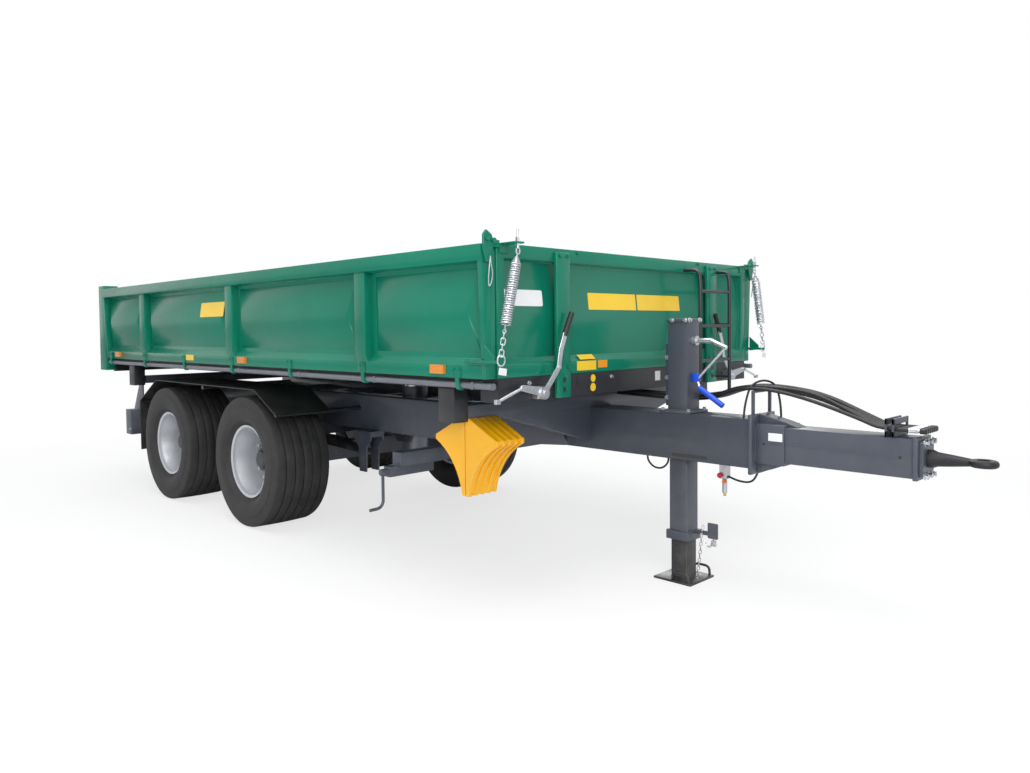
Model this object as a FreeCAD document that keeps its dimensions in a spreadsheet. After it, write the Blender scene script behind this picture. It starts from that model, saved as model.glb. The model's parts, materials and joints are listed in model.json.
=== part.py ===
import FreeCAD, Part
import math
import os
from types import SimpleNamespace

# Tandem-axle three-way dump trailer with drop sides, standing on its front leg.
# X points to the towing eye, Y to the left, Z up, ground at Z = 0.
# Pieces are drawn with X = 0 between the two axles; each sub-part's Placement
# then puts X = 0 halfway between the rearmost point and the tip of the eye.

V = FreeCAD.Vector
os.makedirs("parts", exist_ok=True)
doc = FreeCAD.newDocument("DumpTrailer")
sheet = doc.addObject("Spreadsheet::Sheet", "Sizes")

# Driving dimensions in millimetres (angles in degrees), by group: alias, value.
SIZES = (
    # running gear
    ("axle_spacing", 1357), ("tyre_radius", 465.5), ("tyre_width", 438), ("track_half", 959),
    ("rim_radius", 260), ("rim_width", 356), ("bead_radius", 247), ("disc_y", 850),
    ("hub_radius", 95), ("spindle_radius", 40), ("spindle_clearance", 0.05), ("axle_square", 130),
    ("drum_radius", 205), ("drum_width", 120), ("disc_thickness", 14), ("rim_wall", 9),
    ("spring_y", 490), ("spring_width", 90), ("spring_leaf", 14), ("spring_half", 520),
    # chassis
    ("beam_bottom", 672), ("beam_depth", 248), ("beam_width", 130), ("frame_half", 470),
    ("frame_rear", -1440), ("neck_start", 2050), ("neck_end", 2760), ("neck_slant", 130),
    ("drawbar_half", 100), ("drawbar_wall", 12), ("drawbar_rear", 2400), ("drawbar_front", 3950),
    ("collar_thickness", 20), ("collar_margin", 27), ("tongue_half", 76), ("tongue_depth", 176),
    ("tongue_bottom", 713), ("tongue_front", 4700), ("flange_thickness", 20), ("flange_half", 90),
    ("eye_x", 4950), ("eye_z", 800), ("eye_bore", 25), ("eye_radius", 56), ("eye_thickness", 30),
    ("shank_radius", 34), ("crossmember_width", 80), ("crossmember_depth", 120),
    # bearers and tipping pivots
    ("pivot_rear_x", -1330), ("pivot_front_x", 2890), ("pivot_z", 965), ("pivot_y", 1146),
    ("ball_radius", 34), ("ball_clearance", 1), ("bearer_width", 90), ("bearer_end", 1090),
    ("bearer_top", 1000), ("bearer_tip_depth", 65), ("bearer_flat", 215), ("post_width", 120),
    # bed
    ("bed_rear", -1793), ("bed_length", 5027), ("floor_half", 1172), ("floor_top", 1180),
    ("floor_thickness", 6), ("deck_bottom", 1094), ("girder_bottom", 1030), ("girder_half", 380),
    ("girder_width", 80), ("rib_width", 60), ("sill_bottom", 1035), ("front_wall_back", 3180),
    ("front_wall_panel", 18), ("front_wall_depth", 60), ("wall_top", 1790),
    # side walls
    ("side_inner", 1180), ("side_rail_out", 1243.5), ("side_top_out", 1273), ("side_bottom", 1151.5),
    ("side_top", 1782), ("rail_height", 77), ("fold_z", 1476), ("fold_out", 1246),
    ("panel_top_out", 1214), ("panel_low_out", 1208), ("ledge_z", 1250), ("sill_height", 63),
    ("side_post_width", 100), ("side_post_out", 1262), ("end_plate", 28),
    ("hook_first", -1671.6), ("hook_pitch", 784.5), ("hook_count", 7), ("hook_width", 26),
    ("shaft_y", 1225), ("shaft_z", 1118), ("shaft_radius", 16), ("hook_clearance", 0.3),
    ("hook_thickness", 9.5), ("joint_gap", 5),
    # rear end
    ("corner_rear", -1946), ("corner_inner", 1130), ("corner_outer", 1250), ("corner_bottom", 1042),
    ("corner_top", 1815), ("tail_thickness", 55), ("tail_bottom", 1110), ("tail_top", 1770),
    ("tail_pin_x", -1918), ("tail_pin_z", 1792), ("tail_pin_radius", 12), ("tail_front", -1845),
    # tipping cylinder
    ("ram_x", 1155), ("ram_pivot_z", 620), ("ram_bottom", 425), ("ram_top", 960),
    ("ram_radius", 96), ("ram_wall", 6), ("ram_step", 9.4), ("ram_gap", 0.4), ("ram_rise", 12),
    ("ram_stages", 5), ("ram_head_z", 1060), ("ram_ball", 42), ("ram_neck", 30), ("ram_pin_radius", 28), ("ram_pin_out", 145),
    # front leg
    ("leg_x", 3505), ("leg_half", 55), ("leg_wall", 6), ("leg_bottom", 222), ("leg_top", 1040),
    ("leg_clearance", 0.3), ("housing_wall", 6), ("housing_top", 1415), ("foot_half", 48.7),
    ("foot_top", 560), ("foot_plate_x", 234), ("foot_plate_y", 242), ("foot_plate_t", 12),
    # guards, lamps, chocks and small gear
    ("guard_top", 985), ("guard_sheet", 4), ("guard_outer", 1172), ("guard_inner", 742),
    ("guard_reach", 1215), ("guard_stay", 36), ("guard_slope_x", 850), ("guard_slope_z", 790), ("guard_bottom", 361),
    ("carrier_rear", -1620), ("carrier_bottom", 463), ("carrier_top", 687), ("carrier_depth", 120),
    ("chock_length", 400), ("chock_height", 225), ("chock_width", 200), ("chock_x", 2912),
    ("chock_y", -1090), ("chock_gap", 6), ("seat_gap", 0.3),
)
for row, (alias, value) in enumerate(SIZES, 1):
    cell = "A%d" % row
    sheet.set(cell, str(value))
    sheet.setAlias(cell, alias)
doc.recompute()
d = SimpleNamespace(**{alias: float(sheet.get(alias)) for alias, value in SIZES})
ALIASES = sorted((alias for alias, value in SIZES), key=len, reverse=True)

HALF_SPACING = d.axle_spacing / 2
REARMOST = d.corner_rear
EYE_TIP = d.eye_x + d.eye_radius
SHIFT = FreeCAD.Placement(V(-(REARMOST + EYE_TIP) / 2, 0, 0), FreeCAD.Rotation())
BEAM_TOP = d.beam_bottom + d.beam_depth
BED_FRONT = d.bed_rear + d.bed_length
SUB_PARTS = []


def bind(item, prop, value):
    """Set a property to a number, or bind it to the sheet where the value is an alias formula."""
    if isinstance(value, str):
        words = [("Sizes." + w) if w in ALIASES else w for w in value.split(" ")]
        item.setExpression(prop, " ".join(words))
    else:
        setattr(item, prop, value)


def box(name, x, y, z, lx, ly, lz):
    """A box with its low corner at x, y, z; its lengths are numbers or sheet formulas."""
    item = doc.addObject("Part::Box", name)
    for prop, value in (("Length", lx), ("Width", ly), ("Height", lz)):
        bind(item, prop, value)
    item.Placement.Base = V(x, y, z)
    return item


def cylinder(name, start, axis, radius, length):
    """A cylinder from its start point along an axis."""
    item = doc.addObject("Part::Cylinder", name)
    bind(item, "Radius", radius)
    bind(item, "Height", length)
    item.Placement = FreeCAD.Placement(V(*start), FreeCAD.Rotation(V(0, 0, 1), V(*axis)))
    return item


def sphere(name, centre, radius):
    item = doc.addObject("Part::Sphere", name)
    bind(item, "Radius", radius)
    item.Placement.Base = V(*centre)
    return item


def fuse(name, items):
    item = doc.addObject("Part::MultiFuse", name)
    item.Shapes = items
    return item


def cut(name, base, tool):
    item = doc.addObject("Part::Cut", name)
    item.Base = base
    item.Tool = tool
    return item


def together(name, items):
    """Several solids that don't touch, kept as one sub-part."""
    item = doc.addObject("Part::Compound", name)
    item.Links = items
    return item


def mirrored(name, source):
    """The same piece on the other side of the centre plane."""
    item = doc.addObject("Part::Mirroring", name)
    item.Source = source
    item.Base = V(0, 0, 0)
    item.Normal = V(0, 1, 0)
    return item


def draw(body, name, role, outlines):
    """A sketch on one of the body's origin planes; a point is (u, v), an arc (u, v, mid u, mid v)."""
    sketch = body.newObject("Sketcher::SketchObject", name)
    plane = [o for o in body.Origin.OriginFeatures if o.Role == role][0]
    sketch.AttachmentSupport = [(plane, "")]
    sketch.MapMode = "FlatFace"
    for outline in outlines:
        if len(outline) == 1:
            u, v, radius = outline[0]
            sketch.addGeometry(Part.Circle(V(u, v, 0), V(0, 0, 1), radius), False)
            continue
        for last, here in zip([outline[-1]] + outline[:-1], outline):
            start = V(last[0], last[1], 0)
            end = V(here[0], here[1], 0)
            if len(here) == 4:
                sketch.addGeometry(Part.Arc(start, V(here[2], here[3], 0), end), False)
            else:
                sketch.addGeometry(Part.LineSegment(start, end), False)
    return sketch


def pad(name, role, outlines, low, length):
    """A padded sketch; low is where the solid starts along the plane's axis."""
    body = doc.addObject("PartDesign::Body", name)
    sketch = draw(body, name + "_outline", role, outlines)
    feature = body.newObject("PartDesign::Pad", name + "_pad")
    feature.Profile = sketch
    bind(feature, "Length", length)
    doc.recompute()
    span = feature.Length.Value
    shift = {"XY_Plane": V(0, 0, low), "YZ_Plane": V(low, 0, 0), "XZ_Plane": V(0, low + span, 0)}
    body.Placement.Base = shift[role]
    return body


def turned(name, outline):
    """A body of revolution about Y; the outline's points are (radius, y)."""
    body = doc.addObject("PartDesign::Body", name)
    sketch = draw(body, name + "_outline", "XY_Plane", [outline])
    feature = body.newObject("PartDesign::Revolution", name + "_turn")
    feature.Profile = sketch
    feature.ReferenceAxis = (sketch, ["V_Axis"])
    feature.Angle = 360
    return body


def moved(item, x, y, z):
    item.Placement.Base = item.Placement.Base + V(x, y, z)
    return item


def finish(label, item):
    """Give a finished piece its name and put it in the trailer's own frame."""
    item.Label = label
    item.Placement = SHIFT.multiply(item.Placement)
    SUB_PARTS.append(item)
    return item


def round_path(points):
    """A wire of straight runs joined by tangent arcs, each as large as its runs allow."""
    pts = [V(*p) for p in points]
    edges = []
    here = pts[0]
    for a, b, c in zip(pts, pts[1:], pts[2:]):
        u = (a - b).normalize()
        w = (c - b).normalize()
        half_turn = (math.pi - u.getAngle(w)) / 2
        if half_turn < 0.001:
            continue
        reach = 0.45 * min((a - b).Length, (c - b).Length)
        start = b + u * reach
        end = b + w * reach
        radius = reach / math.tan(half_turn)
        bisector = (u + w).normalize()
        middle = b + bisector * (radius / math.cos(half_turn) - radius)
        edges.append(Part.LineSegment(here, start).toShape())
        edges.append(Part.Arc(start, middle, end).toShape())
        here = end
    edges.append(Part.LineSegment(here, pts[-1]).toShape())
    return Part.Wire(edges)


def swept(points, radius):
    """A round bar or hose along a rounded path."""
    path = round_path(points)
    first = V(*points[0])
    along = V(*points[1]) - first
    ring = Part.Wire([Part.Circle(first, along, radius).toShape()])
    solid = path.makePipeShell([ring], True, True)
    return solid


def feature(name, shape):
    item = doc.addObject("Part::Feature", name)
    item.Shape = shape
    return item


# Chassis beams
# Each side beam runs straight under the bed and then bends in to the drawbar.
def frame_beam(name):
    inner = d.frame_half - d.beam_width
    back = d.neck_start - d.beam_width / 2
    land = d.neck_end - d.neck_slant - 150
    plan = [(d.frame_rear, -d.frame_half), (d.neck_start, -d.frame_half), (d.neck_end, -d.drawbar_half),
            (land, -d.drawbar_half), (back, -inner), (d.frame_rear, -inner)]
    beam = pad(name + "_solid", "XY_Plane", [plan], d.beam_bottom, "beam_depth")
    face = [(d.neck_end - d.neck_slant, BEAM_TOP), (d.neck_end + 10, d.beam_bottom),
            (d.neck_end + 10, BEAM_TOP)]
    wedge = pad(name + "_slant", "XZ_Plane", [face], -d.frame_half, "frame_half")
    return cut(name, beam, wedge)


finish("frame_beam_right", frame_beam("frame_beam_right"))
finish("frame_beam_left", mirrored("frame_beam_left", frame_beam("left_source")))

# Crossmembers sit between the side beams; two of them carry the tipping cylinder's cradle.
CROSS_X = (-1380, -600, 100, 820, 1350, 1900)
cross_inner = d.frame_half - d.beam_width
cross = [box("crossmember_%d" % k, x, -cross_inner, BEAM_TOP - 40 - d.crossmember_depth,
             "crossmember_width", "2 * ( frame_half - beam_width )", "crossmember_depth")
         for k, x in enumerate(CROSS_X)]
finish("frame_crossmembers", together("frame_crossmembers", cross))


# Bearers carry the bed at four ball pins.
def bearer(name, x, inner, depth):
    low = d.bearer_top - d.bearer_tip_depth
    out = d.bearer_end
    knee = out - d.bearer_flat
    outline = [(-out, low), (-knee, low), (-inner, BEAM_TOP - depth), (-inner, BEAM_TOP), (inner, BEAM_TOP),
               (inner, BEAM_TOP - depth), (knee, low), (out, low), (out, d.bearer_top), (-out, d.bearer_top)]
    arm = pad(name + "_arm", "YZ_Plane", [outline], x - d.bearer_width / 2, "bearer_width")
    pins = []
    for side in (-1, 1):
        pins.append(cylinder(name + "_neck", (x, side * (out - 5), d.pivot_z), (0, side, 0), 20,
                             d.pivot_y - out + 5))
        pins.append(sphere(name + "_ball", (x, side * d.pivot_y, d.pivot_z), "ball_radius"))
    return fuse(name, [arm] + pins)


bearers = [bearer("bearer_rear", d.pivot_rear_x, d.frame_half, 160),
           bearer("bearer_front", d.pivot_front_x, d.drawbar_half, 200)]
finish("tipping_bearers", together("tipping_bearers", bearers))

# Drawbar: a square tube with a collar, and a tongue bolted in it that carries the towing eye.
drawbar_length = d.drawbar_front - d.drawbar_rear
outer = box("drawbar_outside", d.drawbar_rear, -d.drawbar_half, d.beam_bottom,
            "drawbar_front - drawbar_rear", "2 * drawbar_half", "beam_depth")
collar = box("drawbar_collar", d.drawbar_front, -d.drawbar_half - d.collar_margin,
             d.beam_bottom - d.collar_margin, "collar_thickness",
             "2 * drawbar_half + 2 * collar_margin", "beam_depth + 2 * collar_margin")
well = d.leg_half + d.leg_clearance
leg_well = box("leg_well", d.leg_x - well, -well, d.beam_bottom - 5, 2 * well, 2 * well, d.beam_depth + 10)
finish("drawbar_beam", cut("drawbar_welled", fuse("drawbar_whole", [outer, collar]), leg_well))

sleeve_rear = d.drawbar_front + d.collar_thickness + d.seat_gap
sleeve_margin = 12
sleeve = box("tongue_sleeve", sleeve_rear, -d.tongue_half - sleeve_margin, d.tongue_bottom - sleeve_margin,
             150, 2 * d.tongue_half + 2 * sleeve_margin, d.tongue_depth + 2 * sleeve_margin)
tongue = box("tongue_tube", sleeve_rear, -d.tongue_half, d.tongue_bottom,
             d.tongue_front - sleeve_rear, "2 * tongue_half", "tongue_depth")
tongue_flange = box("tongue_flange", d.tongue_front, -d.flange_half, d.tongue_bottom - 6,
                    "flange_thickness", "2 * flange_half", "tongue_depth + 12")
finish("drawbar_tongue", fuse("drawbar_tongue", [sleeve, tongue, tongue_flange]))

eye_base_x = d.tongue_front + d.flange_thickness
eye_plate = box("eye_plate", eye_base_x, -70, d.eye_z - 80, 18, 140, 160)
shank = doc.addObject("Part::Cone", "eye_shank")
bind(shank, "Radius1", "shank_radius")
shank.Radius2 = 18
shank.Height = d.eye_x - d.eye_radius - eye_base_x + 10
shank.Placement = FreeCAD.Placement(V(eye_base_x, 0, d.eye_z), FreeCAD.Rotation(V(0, 0, 1), V(1, 0, 0)))
eye_ring = cylinder("eye_ring", (d.eye_x, 0, d.eye_z - d.eye_thickness / 2), (0, 0, 1), "eye_radius",
                    "eye_thickness")
eye_hole = cylinder("eye_hole", (d.eye_x, 0, d.eye_z - d.eye_thickness), (0, 0, 1), "eye_bore",
                    "2 * eye_thickness")
finish("towing_eye", cut("towing_eye", fuse("eye_body", [eye_plate, shank, eye_ring]), eye_hole))


# Axles: a square beam with round spindles, and spring seats on it.
def axle(name, x):
    inner_hub = d.disc_y - d.drum_width
    beam = box(name + "_beam", x - d.axle_square / 2, -inner_hub + 20, d.tyre_radius - d.axle_square / 2,
               "axle_square", 2 * (inner_hub - 20), "axle_square")
    spindle = cylinder(name + "_spindle", (x, -d.disc_y - 60, d.tyre_radius), (0, 1, 0), "spindle_radius",
                       2 * (d.disc_y + 60))
    return fuse(name, [beam, spindle])


finish("axle_front", axle("axle_front", HALF_SPACING))
finish("axle_rear", axle("axle_rear", -HALF_SPACING))


# Wheels: a well-base rim with its disc, hub and drum, and the tyre round it.
def rim_outline(side):
    half = d.rim_width / 2
    base = d.track_half
    hole = d.spindle_radius + d.spindle_clearance
    wall = d.rim_wall
    disc_in = d.disc_y - d.disc_thickness
    drum_in = disc_in - d.drum_width
    well_out = base + half - 75
    pts = [(hole, drum_in), (d.drum_radius, drum_in), (d.drum_radius, disc_in),
           (d.bead_radius - 22 - wall, disc_in),
           (d.bead_radius - 22 - wall, base - half + 60), (d.bead_radius - wall, base - half + 30),
           (d.bead_radius - wall, base - half), (d.rim_radius, base - half),
           (d.rim_radius, base - half + 8), (d.bead_radius, base - half + 12),
           (d.bead_radius, base - half + 32), (d.bead_radius - 22, base - half + 62),
           (d.bead_radius - 22, well_out), (d.bead_radius, well_out + 40),
           (d.bead_radius, base + half - 12), (d.rim_radius, base + half - 8),
           (d.rim_radius, base + half), (d.bead_radius - wall, base + half),
           (d.bead_radius - wall, well_out + 42), (d.bead_radius - 22 - wall, well_out),
           (d.bead_radius - 22 - wall, d.disc_y), (d.hub_radius + 40, d.disc_y),
           (d.hub_radius + 10, d.disc_y + 12), (d.hub_radius, d.disc_y + 62), (hole, d.disc_y + 62)]
    return [(r, side * y) for r, y in pts]


def tyre_outline(side):
    half = d.tyre_width / 2
    base = d.track_half
    bead = d.rim_width / 2 - 12
    inside = d.bead_radius + 0.3
    crown = d.tyre_radius
    shoulder = crown - 26
    tread = half - 18
    bulge = (crown + inside) / 2 - 10
    over = d.rim_radius + 0.4
    edge = d.rim_width / 2
    pts = [(inside, base - bead + 0.6), (over, base - bead - 3.4), (over, base - edge),
           (shoulder, base - tread - 8, bulge, base - half), (crown - 6, base - tread + 14),
           (crown, base - tread + 60), (crown, base + tread - 60),
           (crown - 6, base + tread - 14), (shoulder, base + tread + 8),
           (over, base + edge, bulge, base + half), (over, base + bead + 3.4), (inside, base + bead - 0.6),
           (inside, base + bead - 20), (inside + 110, base + bead - 40), (inside + 110, base - bead + 40),
           (inside, base - bead + 20)]
    return [(p[0], side * p[1]) if len(p) == 2 else (p[0], side * p[1], p[2], side * p[3]) for p in pts]


for end, x in (("front", HALF_SPACING), ("rear", -HALF_SPACING)):
    for hand, side in (("right", -1), ("left", 1)):
        corner = "%s_%s" % (end, hand)
        finish("rim_" + corner, moved(turned("rim_" + corner, rim_outline(side)), x, 0, d.tyre_radius))
        finish("tyre_" + corner, moved(turned("tyre_" + corner, tyre_outline(side)), x, 0, d.tyre_radius))


# Leaf springs: each a stepped pack bent down to its eyes, over the axle.
def spring_pack(name, x, side):
    top = d.tyre_radius + d.axle_square / 2
    leaf = d.spring_leaf
    half = d.spring_half
    droop = 62
    seat = 75
    steps = [(half, 0), (half * 0.82, 1), (half * 0.64, 2), (half * 0.46, 3)]
    low = [(-half, top + 0.3 - droop + 3 * leaf), (-seat, top + 0.3), (seat, top + 0.3),
           (half, top + 0.3 - droop + 3 * leaf)]
    upper = [(half, top - droop + 4.5 * leaf), (seat, top + 4.5 * leaf), (-seat, top + 4.5 * leaf),
             (-half, top - droop + 4.5 * leaf)]
    outline = [(x + u, z) for u, z in low + upper]
    low_y = side * d.spring_y - d.spring_width / 2
    return pad(name, "XZ_Plane", [outline], low_y, "spring_width")


packs = []
for k, (x, side) in enumerate(((HALF_SPACING, -1), (HALF_SPACING, 1), (-HALF_SPACING, -1), (-HALF_SPACING, 1))):
    packs.append(spring_pack("spring_pack_%d" % k, x, side))
finish("leaf_springs", together("leaf_springs", packs))


# Spring hangers: tapered brackets under the beams at the springs' ends.
def hanger(name, x, side):
    top = d.beam_bottom
    outline = [(x - 95, top), (x - 95, top - 60), (x - 48, top - 110), (x - 38, 385), (x + 38, 385),
               (x + 48, top - 110), (x + 95, top - 60), (x + 95, top)]
    low_y = side * d.spring_y - d.spring_width / 2 - 14
    block = pad(name + "_block", "XZ_Plane", [outline], low_y, d.spring_width + 28)
    slot = box(name + "_slot", x - 100, low_y + 13.7, 380, 200, d.spring_width + 0.6, top - 380 - 40)
    return cut(name, block, slot)


HANGER_X = (HALF_SPACING + 560, 0, -HALF_SPACING - 560)
hangers = []
for k, x in enumerate(HANGER_X):
    for side in (-1, 1):
        hangers.append(hanger("hanger_%d_%d" % (k, side + 1), x, side))
finish("spring_hangers", together("spring_hangers", hangers))


# Mudguards: one folded sheet over each pair of wheels.
def mudguard(name, side):
    t = d.guard_sheet
    top = d.guard_top
    reach = d.guard_reach
    knee = d.guard_slope_z
    flat = d.guard_slope_x
    outer_line = [(-reach, d.guard_bottom), (-reach, knee), (-flat, top), (flat, top), (reach, knee),
                  (reach, d.guard_bottom)]
    inner_line = [(reach - t, d.guard_bottom), (reach - t, knee - t / 2), (flat, top - t), (-flat, top - t),
                  (-reach + t, knee - t / 2), (-reach + t, d.guard_bottom)]
    low_y = -d.guard_outer if side < 0 else d.guard_inner
    sheet_metal = pad(name + "_sheet", "XZ_Plane", [outer_line + inner_line], low_y, "guard_outer - guard_inner")
    stay = d.guard_stay
    inner_y = d.frame_half - 70
    start = -d.guard_outer + 20 if side < 0 else inner_y
    top_bar = box(name + "_top_bar", -stay / 2, start, top - t - stay, "guard_stay", d.guard_outer - 20 - inner_y,
                  "guard_stay")
    foot = box(name + "_foot", -stay / 2, -inner_y - 60 if side < 0 else inner_y, BEAM_TOP + 0.3, "guard_stay", 60,
               top - t - stay - BEAM_TOP)
    ends = [cylinder(name + "_stay_%d" % k, (end * (reach - t - 14), side * (d.frame_half + 0.3), knee - 40),
                     (0, side, 0), 16, d.guard_outer - 20 - d.frame_half) for k, end in enumerate((-1, 1))]
    return fuse(name, [sheet_metal, top_bar, foot] + ends)


finish("mudguards", together("mudguards", [mudguard("mudguard_right", -1), mudguard("mudguard_left", 1)]))

# Rear lamp carrier: a channel behind the wheels, hung from the rear bearer by two plates.
carrier_box = box("carrier_box", d.carrier_rear, -1150, d.carrier_bottom, "carrier_depth", 2300,
                  "carrier_top - carrier_bottom")
arm_rear = d.carrier_rear + d.carrier_depth
arm_front = d.pivot_rear_x - d.bearer_width / 2 - 0.3
arm_outline = [(d.carrier_rear + 20, d.carrier_top), (arm_rear - 10, d.carrier_bottom + 40),
               (arm_front, d.carrier_bottom + 110), (arm_front, d.bearer_top - 10), (arm_front - 50, d.bearer_top - 10)]
carrier_arms = [pad("carrier_arm_%d" % (side + 1), "XZ_Plane", [arm_outline], side * (d.bearer_end - 12) - 5, 10)
                for side in (-1, 1)]
finish("lamp_carrier", fuse("lamp_carrier", [carrier_box] + carrier_arms))
lamps = [box("rear_lamp_%d" % k, d.carrier_rear - 45, y - 120, d.carrier_bottom + 50, 44.7, 240, 110)
         for k, y in enumerate((-960, 960))]
finish("rear_lamps", together("rear_lamps", lamps))


# Chocks: two wedges stored back to back with their toes down.
def chock(name, side):
    tip = d.bearer_top - d.bearer_tip_depth - d.seat_gap - d.chock_length
    base = d.chock_x + side * d.chock_gap / 2
    crest = base + side * d.chock_height
    outline = [(base, tip), (base + side * 22, tip),
               (crest, tip + 275, base + side * 92, tip + 165), (crest, tip + 300),
               (base + side * 30, tip + d.chock_length), (base, tip + d.chock_length)]
    return pad(name, "XZ_Plane", [outline], d.chock_y, "chock_width")


finish("wheel_chocks", together("wheel_chocks", [chock("chock_front", 1), chock("chock_rear", -1)]))

# Parking brake: a bracket tube under the beam, a spindle box and its hand crank.
crank_x = 2200
crank_y = -1060
brake_tube = box("brake_tube", crank_x - 40, -980, d.beam_bottom - 80, 80, 980 + 380, 80)
spindle_box = box("brake_spindle_box", crank_x - 60, -1030, d.beam_bottom - 140, 60, 330, 60)
crank_hub = cylinder("brake_hub", (crank_x - 30, crank_y - 15, d.beam_bottom - 110), (0, 1, 0), 20, 50)
brake_crank = feature("brake_crank_bar", swept([(crank_x - 30, crank_y, d.beam_bottom - 110),
                                                (crank_x - 30, crank_y, d.beam_bottom - 315),
                                                (crank_x - 30, crank_y - 95, d.beam_bottom - 318)], 9))
finish("parking_brake", fuse("parking_brake", [brake_tube, spindle_box, crank_hub, brake_crank]))

# Tipping cylinder: cradle plates between two crossmembers, barrel on trunnions, nested stages.
cradle_rear = CROSS_X[3] + d.crossmember_width
cradle_front = CROSS_X[4]
cradle_plates = []
cradle_inner = d.ram_radius + 8
for side in (-1, 1):
    outline = [(cradle_rear, BEAM_TOP - 40), (cradle_rear, BEAM_TOP - 160), (d.ram_x - 70, 545),
               (d.ram_x + 70, 545), (cradle_front, BEAM_TOP - 160), (cradle_front, BEAM_TOP - 40)]
    hole = [(d.ram_x, d.ram_pivot_z, d.ram_pin_radius + 0.08)]
    low_y = side * (cradle_inner + 10) - 10
    cradle_plates.append(pad("cradle_plate_%d" % (side + 1), "XZ_Plane", [outline, hole], low_y, 20))
finish("cylinder_cradle", together("cylinder_cradle", cradle_plates))


def stage_radius(k):
    """Outside radius of the barrel (0) or of a stage (1, 2, ...)."""
    if k == 0:
        return d.ram_radius
    return d.ram_radius - d.ram_wall - d.ram_gap - (k - 1) * d.ram_step


barrel_outer = cylinder("barrel_outer", (d.ram_x, 0, d.ram_bottom), (0, 0, 1), "ram_radius", d.ram_top - d.ram_bottom)
trunnion = cylinder("trunnion", (d.ram_x, -cradle_inner - 20, d.ram_pivot_z), (0, 1, 0), "ram_pin_radius",
                    2 * cradle_inner + 40)
barrel_bore = cylinder("barrel_bore", (d.ram_x, 0, d.ram_bottom + 15), (0, 0, 1), "ram_radius - ram_wall",
                       d.ram_top - d.ram_bottom)
finish("cylinder_barrel", cut("cylinder_barrel", fuse("barrel_body", [barrel_outer, trunnion]), barrel_bore))
STAGES = int(d.ram_stages)
for k in range(1, STAGES + 1):
    base_z = d.ram_bottom + 16 + 5 * k
    top_z = d.ram_top + d.ram_rise * k if k < STAGES else d.ram_head_z - 46
    tube = cylinder("stage_tube_%d" % k, (d.ram_x, 0, base_z), (0, 0, 1), stage_radius(k), top_z - base_z)
    if k < STAGES:
        bore = cylinder("stage_bore_%d" % k, (d.ram_x, 0, base_z + 4), (0, 0, 1),
                        stage_radius(k + 1) + d.ram_gap, top_z - base_z)
        finish("cylinder_stage_%d" % k, cut("cylinder_stage_%d" % k, tube, bore))
    else:
        neck = cylinder("ram_neck", (d.ram_x, 0, top_z), (0, 0, 1), "ram_neck", d.ram_head_z - top_z)
        ball = sphere("ram_ball", (d.ram_x, 0, d.ram_head_z), "ram_ball")
        finish("cylinder_stage_%d" % k, fuse("cylinder_stage_%d" % k, [tube, neck, ball]))


# Front leg: housing on the drawbar, sliding outer leg, pinned inner foot.
def square_tube(name, half, wall, low, high):
    skin = box(name + "_skin", d.leg_x - half, -half, low, 2 * half, 2 * half, high - low)
    core = half - wall
    void = box(name + "_void", d.leg_x - core, -core, low - 5, 2 * core, 2 * core, high - low + 10)
    return cut(name, skin, void)


housing_half = d.leg_half + d.leg_clearance + d.housing_wall
housing_low = BEAM_TOP + 15
housing_tube = square_tube("housing_tube", housing_half, d.housing_wall, housing_low, d.housing_top)
housing_cap = box("housing_cap", d.leg_x - housing_half - 6, -housing_half - 6, d.housing_top,
                  2 * housing_half + 12, 2 * housing_half + 12, 18)
flange_skin = box("housing_flange", d.leg_x - 95, -95, BEAM_TOP, 190, 190, 15)
flange_void = box("housing_flange_void", d.leg_x - well, -well, BEAM_TOP - 5, 2 * well, 2 * well, 25)
housing_fin = box("housing_fin", d.leg_x - housing_half - 28, -40, housing_low + 20, 30, 80, 340)
housing = fuse("leg_housing", [housing_tube, housing_cap, cut("housing_base", flange_skin, flange_void),
                               housing_fin])
finish("leg_housing", housing)

leg_tube = square_tube("leg_tube", d.leg_half, d.leg_wall, d.leg_bottom, d.leg_top)
leg_collar = square_tube("leg_collar", d.leg_half + 14, 14, d.leg_bottom, d.leg_bottom + 50)
finish("leg_sleeve", fuse("leg_sleeve", [leg_tube, leg_collar]))
foot_tube = box("foot_tube", d.leg_x - d.foot_half, -d.foot_half, d.foot_plate_t,
                "2 * foot_half", "2 * foot_half", "foot_top - foot_plate_t")
foot_plate = box("foot_plate", d.leg_x - d.foot_plate_x / 2, -d.foot_plate_y / 2, 0, "foot_plate_x",
                 "foot_plate_y", "foot_plate_t")
finish("leg_foot", fuse("leg_foot", [foot_tube, foot_plate]))

# Bed: floor, subframe, front wall, rear posts.
floor_rear = d.tail_front + 5
finish("bed_floor", box("bed_floor", floor_rear, -d.floor_half, d.floor_top - d.floor_thickness,
                        d.front_wall_back - floor_rear, "2 * floor_half", "floor_thickness"))
under = d.floor_top - d.floor_thickness
RIB_X = (-1330, -830, -330, 170, 670, 1400, 1900, 2400, 2890)
member_rear = floor_rear + 62 + d.seat_gap
member_front = d.front_wall_back - 60 - d.seat_gap
girders = [box("girder_%d" % side, member_rear, side * d.girder_half - (0 if side < 0 else d.girder_width),
               d.girder_bottom, member_front - member_rear, "girder_width",
               "deck_bottom - girder_bottom - seat_gap") for side in (-1, 1)]
rims = [box("deck_edge_%d" % side, member_rear, side * d.floor_half - (0 if side < 0 else 30), d.deck_bottom,
            member_front - member_rear, 30, under - d.seat_gap - d.deck_bottom) for side in (-1, 1)]
rib_half = d.floor_half - 30 - d.seat_gap
ribs = [box("rib_%d" % k, x - d.rib_width / 2, -rib_half, d.deck_bottom, "rib_width", 2 * rib_half,
            under - d.seat_gap - d.deck_bottom) for k, x in enumerate(RIB_X)]
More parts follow.
